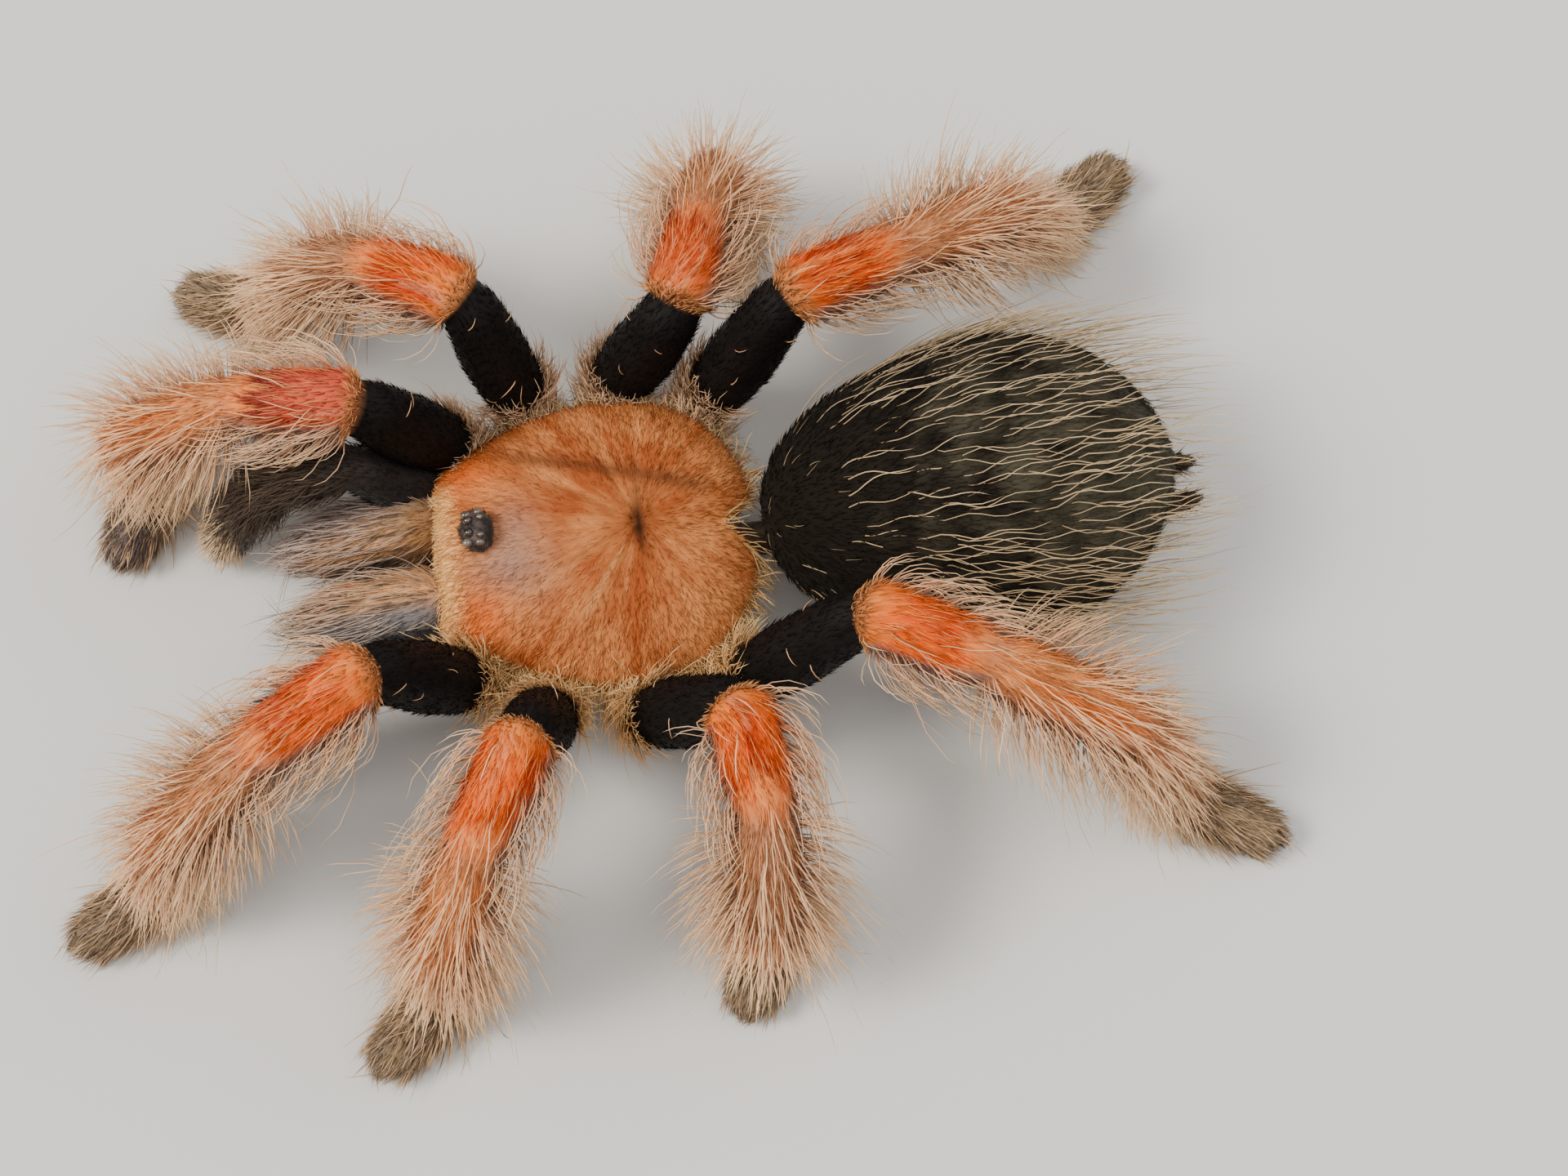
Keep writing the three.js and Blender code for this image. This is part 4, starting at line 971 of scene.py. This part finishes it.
def leg_tint(limb, seed, rosy, dull):
    """A leg's markings by where along it and how far round from its back, streaked along its length: black
    femur, then on the patella a golden rim, a flame of orange and red with a ragged end and a smooth peach
    cap, then a peach stripe down the tibia, duller by a share, on the right second leg partly painted shade,
    and grey-pink flanks, a pink shin and an olive foot, darker on some legs by a painted shadow."""
    def tint(a, b):
        where, up = limb.where(b), facing_up(a)
        away = np.arccos(np.clip(up, -1, 1))
        turn = 2 * math.pi * a
        streak = streaks(turn, where, 5, 1.1, 2.4, seed)
        fine = streaks(turn, where, 11, 2.0, 2.4, seed + 1)
        side = blend(SIDE_PINK, SIDE_GREY, 0.45 - 0.6 * up + 0.35 * fine)
        flame = marked(
            PATELLA_ORANGE,
            (PATELLA_RED, 0.2 + 0.9 * streak + 0.35 * over(where, 2.45, 0.5)),
            (KNEE_GOLD, 0.8 * over(where + 0.06 * streak, 2.16, -0.16)),
            (ROSE, rosy),
            (ROSE_DARK, rosy * over(where + 0.06 * streak, 2.52, 0.3)),
            (JOINT_PALE, 0.3 * over(fine, 0.8, 0.25)),
            (FLAME_SHADE, 0.6 * over(fine, -0.75, -0.35) * over(where, 2.2, 0.1)),
            (CAP_PEACH, over(where + 0.12 * streak, 2.8, 0.12)),
        )
        patella = marked(
            side,
            (flame, over(away, 1.25 - 0.8 * np.clip(where - 2.6, 0, 0.4), -0.35)),
            (RIM_BROWN, 0.85 * over(where + 0.015 * fine, 2.07, -0.04)),
        )
        stripe = marked(
            TIBIA_PEACH,
            (TIBIA_ORANGE, 0.1 + 0.6 * streak + 0.5 * bell(where, 3.72, 0.16)),
            (JOINT_PALE, 0.5 * over(fine, 0.6, 0.4)),
            (TIBIA_SHADE, 0.5 * over(fine, -0.75, -0.4)),
            (DULL_PINK, dull),
        )
        tibia = blend(side, stripe, over(away, 1.42 - 0.5 * np.clip(where - 3.1, 0, 0.9), -0.8))
        shin = blend(SIDE_GREY, SHIN_PINK, 0.6 + 0.6 * up + 0.3 * fine)
        shin = blend(shin, FOOT_OLIVE, 0.5 * over(where, 4.7, 0.5))
        # Greyer below, where the pads are, and darker by FOOT_SHADE times rosy: painted shadow on feet in
        # shade.
        shade = 0.12 + 0.35 * fine + 0.6 * over(up, -0.35, -0.6) + FOOT_SHADE * rosy
        colour = marked(
            COXA_BROWN,
            (FEMUR_BLACK, over(where, 1.12, 0.2)),
            (patella, over(where, 2.02, 0.03)),
            (tibia, over(where, 3.02, 0.05)),
            (shin, over(where, 4.02, 0.06)),
        )
        for joint, paleness in ((3.0, 0.15), (4.0, 0.5)):
            ring = over(up, 0.1, 0.6) * bell(where - joint, -0.09, 0.04)
            colour = marked(
                colour, (JOINT_BROWN, 0.6 * bell(where, joint, 0.035)), (JOINT_PALE, paleness * ring),
            )
        return blend(colour, blend(FOOT_OLIVE, SIDE_GREY, shade), over(where, 5.05, 0.1))
    return tint


# Cream on the back, darker towards the underside in CREAM_SHADE: painted shade in the coat.
def cream_tint(a, b):
    return blend(CREAM_SHADE, CREAM, 0.7 + 0.5 * facing_up(a))


def claws(name, limb):
    """Two curved claws side by side at a toe, each a thin tapering horn, as one piece."""
    toe, before = limb.line(np.array([1.0, 0.96]))
    ahead = unit((toe - before) * (1, 1, 0.2))
    apart = unit(np.cross(ahead, UPWARD))
    a, b, triangles = lattice(12, 20)
    points = []
    for turn in (-1, 1):
        start = toe - UPWARD * CLAW["below"] + apart * turn * CLAW["apart"]
        line = np.array([start + ahead * forward + UPWARD * up for forward, up in CLAW["line"]])
        points.append(Limb(line, np.array([UPWARD, UPWARD]), CLAW_RADII)(a, b))
    triangles = np.concatenate([triangles, triangles + len(a)])
    uv = np.tile(np.stack([a, b], 1), (2, 1))[triangles]
    mesh_piece(name, np.concatenate(points), triangles, fang_horn, HORN_TINT, uv)


def step_table(places, values):
    """A rule of where alone, straight between these places and values."""
    return lambda where, up=None: np.interp(where, places, values)


fuzz_length = step_table((2.0, 2.1, 3, 3.5, 4.5, 5, 6), (1.0, 1.2, 1.5, 2.0, 2.0, 1.6, 1.4))
fuzz_rise = step_table((2.0, 4.9, 5.3, 6), (24, 24, 36, 36))
fuzz_share = step_table((2, 5, 5.2, 6), (1.1, 1.0, 1.8, 1.8))
crown_share = step_table((2.0, 2.8, 3.1, 3.9, 4.1, 6), (0.0, 0.03, 0.18, 0.40, 0.55, 0.55))
long_share = step_table(
    (2.0, 2.06, 2.5, 3, 3.5, 4, 5, 5.35, 5.7, 6), (0.1, 1.3, 1.0, 1.0, 1.4, 1.4, 1.3, 1.0, 0.65, 0.4),
)
long_length = step_table((2.0, 2.3, 3, 3.5, 4, 4.6, 5, 5.4, 6), (3.6, 5.2, 4.8, 5.6, 5.4, 4.6, 3.6, 2.7, 1.9))
long_slope = step_table((2.0, 2.9, 3.05, 3.6, 4.1, 5.0, 5.3), (62, 50, 74, 68, 56, 42, 24))
long_fall = step_table((2.0, 2.9, 3.05, 3.6, 4.1, 5.0), (-34, -14, 40, 32, 20, 8))


def stretch(start, end, edge, soft):
    """A rule that keeps hair to a stretch of a limb, where it faces up past the edge."""
    return lambda where, up: (where > start) * (where < end) * over(up, edge, soft)


def velvet_density(where, up):
    return over(where, 0.95, 0.3) * over(where, 2.0, -0.06) + 0.35 * over(where, 0.95, -0.3)


def fuzz_density(where, up):
    """Short hair from the knee on, with a nearly bare band over the cap."""
    bald = bell(where, 2.87, 0.09) * over(up, 0.35, 0.5)
    return (where > 2.02) * fuzz_share(where) * (1 - 0.8 * bald)


def long_density(where, up):
    """Long hair from the knee on, most at the flanks, a share of it on the back and none below."""
    flank = np.clip(1 - np.abs(up + 0.1), 0, 1) ** 1.5
    return (where > 2.03) * long_share(where) * (crown_share(where) + flank) * over(up, -0.75, 0.4)


def long_rise(where, up):
    """The long hairs stand out by their slope, and half as steeply along the limb's back."""
    return long_slope(where) * (1 - 0.5 * np.clip(up, 0, 1))


def long_tip(where, up):
    return blend(CREAM_TIP, FOOT_TIP, over(where, 5.0, 0.8))


leg_skin = skin_material("leg_skin", 0.6, 7.0, 0.1, 0.0, 0.15)
leg_hair = hair_material("leg_hair", 0.55, 0.0, 0.12)
velvet = hair_material("leg_velvet", 0.6, 0.0, 0.1)

for side_name, kind in STANCE:
    if kind == "palp":
        continue
    seed = 100 + 10 * kind + (side_name == "left")
    leg = Limb(*limb_joints(side_name, kind), LEG_RADII)
    tint = leg_tint(leg, seed, ROSY.get((side_name, kind), 0), DULL[side_name, kind])
    nodes = [f"leg_{kind}_{side_name}_{part}" for part in LEG_PARTS]

    def tuft_tint(a, b):
        brown = 0.35 + 0.5 * np.sin(40 * a + 90 * b)
        return marked(TUFT_GOLD, (TUFT_BROWN, brown), (TUFT_GREY, TUFT_GREYNESS[side_name]))

    def long_tint(a, b):
        return blend(tint(a, b), cream_tint(a, b), 0.5)

    tuft_tip = plain(TUFT_TIPS[side_name])
    skin(f"leg_{kind}_{side_name}", leg, 48, 190, tint, leg_skin, nodes, (13, 50))
    coat(
        f"femur_coat_{kind}_{side_name}", leg, seed + 500, velvet, "femur_hair",
        dict(count=2450, density=leg.by(velvet_density), length=1.15, width=0.07, rise=15, fall=2, tint=tint,
             shades=0.4),
        dict(count=150, density=leg.by(stretch(1.99, 2.07, -0.3, 0.6)), length=0.8, rise=45, fall=25,
             tint=plain(RIM_HAIR), shades=0.5, turn=25),
        dict(count=520, density=leg.by(stretch(0.45, 1.2, 0.0, 0.5)), length=2.7, width=0.10, rise=36,
             fall=-8, rings=3, wave=0.2, tint=tuft_tint, tip=tuft_tip, turn=24, stray=0.1),
        dict(count=7, density=leg.by(stretch(1.1, 1.9, -0.3, 0.5)), length=1.8, rise=40, fall=-20, rings=4,
             wave=0.3, tint=cream_tint, turn=40),
    )
    coat(
        f"leg_coat_{kind}_{side_name}", leg, seed, leg_hair, "patella_hair",
        dict(count=3900, density=leg.by(fuzz_density), length=leg.by(fuzz_length), width=0.10,
             rise=leg.by(fuzz_rise), tint=tint, shades=0.35, turn=10),
        dict(count=1450, density=leg.by(long_density), length=leg.by(long_length), width=0.12,
             rise=leg.by(long_rise), fall=leg.by(long_fall), rings=4, pull=(0, 0, -0.2), wave=0.12,
             tint=long_tint, tip=leg.by(long_tip), shades=0.3, stray=0.05),
        dict(count=300, density=leg.by(stretch(2.1, 4, 0.35, 0.4)), length=2.4, width=0.10, rise=16, fall=0,
             rings=3, tint=tint, tip=plain(STRIPE_TIP), turn=8),
    )
    claws(f"leg_claws_{kind}_{side_name}", leg)

# ---------------------------------------------------------------- the palps
# The two short feelers beside the jaws, built as the legs are but thinner, dark brown all along, with a pale
# brush of longer hair round the tip.

PALP_RADII = (
    (0, 1.45), (0.8, 1.85), (1.0, 1.6), (1.2, 1.8), (1.45, 2.05), (1.85, 1.8), (2.0, 1.55), (2.14, 1.7),
    (2.45, 1.8), (2.9, 1.62), (3.0, 1.48), (3.14, 1.6), (3.45, 1.7), (3.9, 1.55), (4.0, 1.36), (4.12, 1.42),
    (4.45, 1.5), (4.82, 1.3), (5.0, 1.05),
)
PALP_PARTS = ("femur", "patella", "tibia", "tarsus")
PALP_BROWN = (0.030, 0.021, 0.016)
PALP_GREY = (0.066, 0.042, 0.026)
PALP_LONG, PALP_LONG_TIP = (0.045, 0.028, 0.017), (0.105, 0.070, 0.045)
PALP_BRUSH = (0.50, 0.39, 0.26)
RUST = (0.33, 0.08, 0.025)
palp_skin = skin_material("palp_skin", 0.6, 7.0, 0.1)
palp_hair = hair_material("palp_hair", 0.5)


def palp_tint(limb, seed):
    """Dark brown, greyer towards the tip, with a painted grey highlight along the back."""
    def tint(a, b):
        where, up = limb.where(b), facing_up(a)
        streak = streaks(2 * math.pi * a, where, 6, 1.2, 2.4, seed)
        return marked(
            PALP_BROWN,
            # Greyer towards the tip, and along the back as a painted highlight.
            (PALP_GREY, (0.35 + 0.35 * up + 0.5 * streak) * over(where, 2.6, 1.6)),
            (FEMUR_BLACK, over(where, 1.9, -0.3) * over(where, 1.05, 0.2)),
        )
    return tint


def palp_fuzz_length(where, up):
    return 0.8 + 0.14 * where


def palp_long_density(where, up):
    return over(where, 2.2, 0.6) * over(where, 4.0, -0.6) * (1.1 + 0.6 * up)


def palp_long_length(where, up):
    return 2.9 - 1.0 * over(where, 4.4, 0.5)


def palp_long_tip(where, up):
    return blend(PALP_LONG_TIP, CREAM, over(where, 4.35, 0.4))


def palp_brush(where, up):
    return over(where, 4.4 - 0.6 * up, 0.3)


for side_name, side in SIDES.items():
    palp = Limb(*limb_joints(side_name, "palp"), PALP_RADII)
    tint = palp_tint(palp, 200 + side)
    nodes = [f"palp_{side_name}_{part}" for part in PALP_PARTS]
    skin(f"palp_{side_name}", palp, 48, 130, tint, palp_skin, nodes, (11, 30))
    coat(
        f"palp_coat_{side_name}", palp, 204 + side, palp_hair, "palp_hair",
        dict(count=3500, length=palp.by(palp_fuzz_length), rise=24, tint=tint),
        dict(count=900, density=palp.by(palp_long_density), length=palp.by(palp_long_length), rise=34,
             fall=-4, rings=4, wave=0.12, tint=plain(PALP_LONG), tip=palp.by(palp_long_tip), shades=0.4),
        dict(count=480, density=palp.by(palp_brush), length=1.7, width=0.10, rise=40, fall=30, rings=3,
             tint=plain(PALP_BRUSH), tip=plain(CREAM_TIP)),
        dict(count=320, density=palp.by(stretch(-1, 1.0, 0.1, -0.8)), length=1.5, rise=40, fall=15, rings=3,
             tint=plain(RUST), turn=18),
    )

# ---------------------------------------------------------------- the underside and the waist
# The breastplate between the leg bases, its small lip in front, and the short waist to the abdomen, in dark
# brown velvet. The skins of the legs and palps cover their own bases.

STERNUM = {"y": 0.2, "half_width": 6.9, "half_length": 8.5, "low": 4.0, "high": 8.35}
LIP_MIDDLE, LIP_SIZES = (0, -8.5, 5.15), (1.6, 1.25, 0.8)
WAIST_LINE = ((0, 7.8, 6.8), (0, 10.6, 6.8), (0, 13.4, 6.9))
WAIST_RADII = ((0, 1.15), (1, 1.2), (2, 1.15))
UNDER_BROWN = (0.035, 0.022, 0.015)
UNDER_LIGHT = (0.085, 0.050, 0.030)
UNDER_LONG = (0.16, 0.10, 0.06)
under_skin = skin_material("under_skin", 0.7, 7.0, 0.1)
under_hair = hair_material("under_hair", 0.55)
under_middle = np.array([0, STERNUM["y"], (STERNUM["low"] + STERNUM["high"]) / 2])
under_sizes = (STERNUM["half_width"], STERNUM["half_length"], (STERNUM["high"] - STERNUM["low"]) / 2)
under_surface = egg_surface(under_middle, LEFTWARD, REARWARD, UPWARD, under_sizes)
lip_surface = egg_surface(np.array(LIP_MIDDLE), LEFTWARD, REARWARD, UPWARD, LIP_SIZES)
waist = Limb(np.array(WAIST_LINE), np.array([UPWARD, UPWARD]), WAIST_RADII)


def under_tint(a, b):
    return blend(UNDER_BROWN, UNDER_LIGHT, 0.5 + 0.5 * ripple(under_surface(a, b), 2.5, 51))


def below(edge):
    """A density that keeps hair to the skin that faces down past the edge."""
    return lambda a, b: over(facing_up(a), edge, -0.4)


under_slot = "underside_hair"
nodes = ("prosoma_underside",)
skin("breastplate", under_surface, 96, 64, under_tint, under_skin, nodes, (40, 18))
skin("lip", lip_surface, 48, 32, under_tint, under_skin, (), (8, 4))
coat(
    "lip_coat", lip_surface, 54, under_hair, under_slot,
    dict(count=300, density=below(0.2), length=0.8, width=0.08, tint=under_tint),
)
skin("waist", waist, 48, 32, under_tint, under_skin, ("pedicel",), (8, 6))
coat(
    "underside_coat", under_surface, 52, under_hair, under_slot,
    dict(count=2600, density=below(0.2), length=0.9, width=0.085, rise=24, tint=under_tint),
    dict(count=260, density=below(0), length=1.8, width=0.1, rise=55, fall=20, rings=3,
         tint=plain(UNDER_LONG), turn=20),
)
coat(
    "waist_coat", waist, 53, under_hair, under_slot,
    dict(count=260, length=0.9, width=0.085, rise=28, fall=8, tint=under_tint),
)

# ---------------------------------------------------------------- the abdomen
# A soft egg in black velvet, olive-grey towards its rear, under long wavy cream hairs that all lie back and
# reach past its end. Two short jointed spinnerets stand out below its rear.

ABDOMEN = {"half_width": 10.1, "half_length": 13.9, "half_height": 8.9, "fullness": 0.16, "turn": 3}
ABDOMEN_MIDDLE = np.array([-0.8, 24.9, 10.1])
ABDOMEN_BLACK = (0.008, 0.0055, 0.003)
ABDOMEN_OLIVE = (0.066, 0.058, 0.037)
ABDOMEN_BROWN = (0.035, 0.022, 0.014)
LUNG_BROWN = (0.19, 0.125, 0.075)
LUNG_PLATES = (15.6, 19.8)
WISP_SHADE, WISP_LIGHT, WISP_TIP = (0.13, 0.085, 0.05), (0.36, 0.25, 0.14), (0.78, 0.58, 0.33)
abdomen_turn = math.radians(ABDOMEN["turn"])
abdomen_along = np.array([-math.sin(abdomen_turn), math.cos(abdomen_turn), 0])
abdomen_across = np.cross(abdomen_along, UPWARD)
abdomen_sizes = (ABDOMEN["half_width"], ABDOMEN["half_length"], ABDOMEN["half_height"])
abdomen_egg = egg_surface(
    ABDOMEN_MIDDLE, abdomen_across, abdomen_along, UPWARD, abdomen_sizes, ABDOMEN["fullness"],
)


def abdomen_surface(a, b):
    """The abdomen's egg, with low broad dimples and folds."""
    place = abdomen_egg(a, b)
    dimple = 0.12 * ripple(place * (1, 0.6, 1), 7.0, 61)
    return place + unit(place - ABDOMEN_MIDDLE) * dimple[..., None] * np.sin(math.pi * b)[..., None]


def abdomen_tint(a, b):
    """Black in front, with a dull olive-grey sheen in patches over the rear of its back, browner below, where
    the two pairs of covers over its lungs are paler."""
    place, up = abdomen_egg(a, b), facing_up(a)
    patchy = 0.7 * ripple(place, 4.0, 62) + 0.6 * ripple(place, 1.7, 65)
    x, y = np.abs(place[..., 0] - ABDOMEN_MIDDLE[0]), place[..., 1]
    plates = sum(near(x, y, (3.6, spot), (1.7, 1.3)) for spot in LUNG_PLATES)
    rear = 0.9 * over(b, 0.56, 0.34) + 0.45 * patchy
    return marked(
        ABDOMEN_BLACK,
        (ABDOMEN_OLIVE, rear * over(up, 0.0, 0.9) * over(b, 0.4, 0.2)),
        (ABDOMEN_BROWN, 0.6 * over(up, -0.2, -0.8)),
        (LUNG_BROWN, 0.8 * plates * over(up, -0.3, -0.3)),
    )


def wisp_lean(b, before):
    """The slope in degrees by which the skin turns in past its middle, and a share of it before, where the
    skin still climbs. It is the slope of an ellipse 0.67 as high as long."""
    t = -np.cos(math.pi * np.clip(b, 0.02, 0.98))
    slope = np.degrees(np.arctan(0.67 * t / np.sqrt(1 - t * t)))
    return np.where(slope > 0, slope, before * slope)


def wisp_rise(a, b):
    return 13 + 0.9 * wisp_lean(b, 0.15)


def wisp_fall(a, b):
    return -7 + 0.97 * wisp_lean(b, 0.6)


def wisp_length(a, b):
    return 4.6 + 4.4 * over(b, 0.34, 0.26) - 5.6 * over(b, 0.84, 0.34)


def wisp_tint(a, b):
    return blend(WISP_SHADE, WISP_LIGHT, 0.6 + 0.5 * facing_up(a))


def wisp_density(a, b):
    """Wisps from a fifth of the way back on, most at the flanks, and thinner again near the end."""
    up = facing_up(a)
    flank = (0.5 + 0.8 * over(up, 0.5, -0.6)) * (0.3 + 0.7 * over(up, -0.5, 0.6))
    return over(b, 0.2, 0.16) * flank * (1 - 0.55 * over(b, 0.7, 0.3))


abdomen_skin = skin_material("abdomen_skin", 0.75, 6.0, 0.12, 0.02, 0.12)
abdomen_fur = hair_material("abdomen_fur", 0.6, 0.0, 0.1)
wisp_hair = hair_material("wisp_hair", 0.42)
skin(
    "abdomen_body", abdomen_surface, 140, 110, abdomen_tint, abdomen_skin, ("abdomen",),
    (60, 45),
)
coat(
    "abdomen_velvet", abdomen_surface, 63, abdomen_fur, "abdomen_hair",
    dict(count=14300, length=lambda a, b: 0.85 + 0.35 * b, width=0.10, rise=22, tint=abdomen_tint,
         turn=14),
)
coat(
    "abdomen_wisps", abdomen_surface, 64, wisp_hair, "abdomen_hair",
    dict(count=700, density=wisp_density, length=wisp_length, width=0.10, rise=wisp_rise, fall=wisp_fall,
         rings=9, wave=0.3, pull=tuple(abdomen_along * 0.4), tint=wisp_tint, tip=plain(WISP_TIP), turn=8,
         shades=0.3, stray=0.06),
    dict(count=90, density=lambda a, b: over(b, 0.34, -0.3), length=1.7, width=0.06, rise=18, fall=0, rings=4,
         wave=0.2, tint=wisp_tint, turn=16, shades=0.4),
)

SPINNERET = {"out": 1.4, "behind": 12.264, "below": 5.06, "lift": 14}
SPINNERET_JOINTS = (-0.3, 1.5, 2.8, 4.0)
SPINNERET_RADII = ((0, 0.8), (0.8, 0.82), (1, 0.72), (1.3, 0.78), (2, 0.62), (2.3, 0.66), (3, 0.36))
SPINNERET_DARK = (0.05, 0.035, 0.025)
for side_name, side in SIDES.items():
    along, back = limb_axes(side, 180, SPINNERET["lift"])
    root = ABDOMEN_MIDDLE + abdomen_across * -side * SPINNERET["out"] + abdomen_along * SPINNERET["behind"]
    line = np.array([root - UPWARD * SPINNERET["below"] + along * way for way in SPINNERET_JOINTS])
    spinneret = Limb(line, np.array([back] * 3), SPINNERET_RADII)
    tint = plain(SPINNERET_DARK)
    nodes = (f"spinneret_{side_name}",)
    slot = "spinneret_hair"
    skin(f"spinneret_skin_{side_name}", spinneret, 40, 50, tint, abdomen_skin, nodes, (5, 4))
    coat(
        f"spinneret_coat_{side_name}", spinneret, 66 + side, abdomen_fur, slot,
        dict(count=520, length=0.7, width=0.08, rise=26, fall=8, tint=tint),
        dict(count=60, length=1.5, rise=40, fall=15, rings=3, tint=wisp_tint),
    )
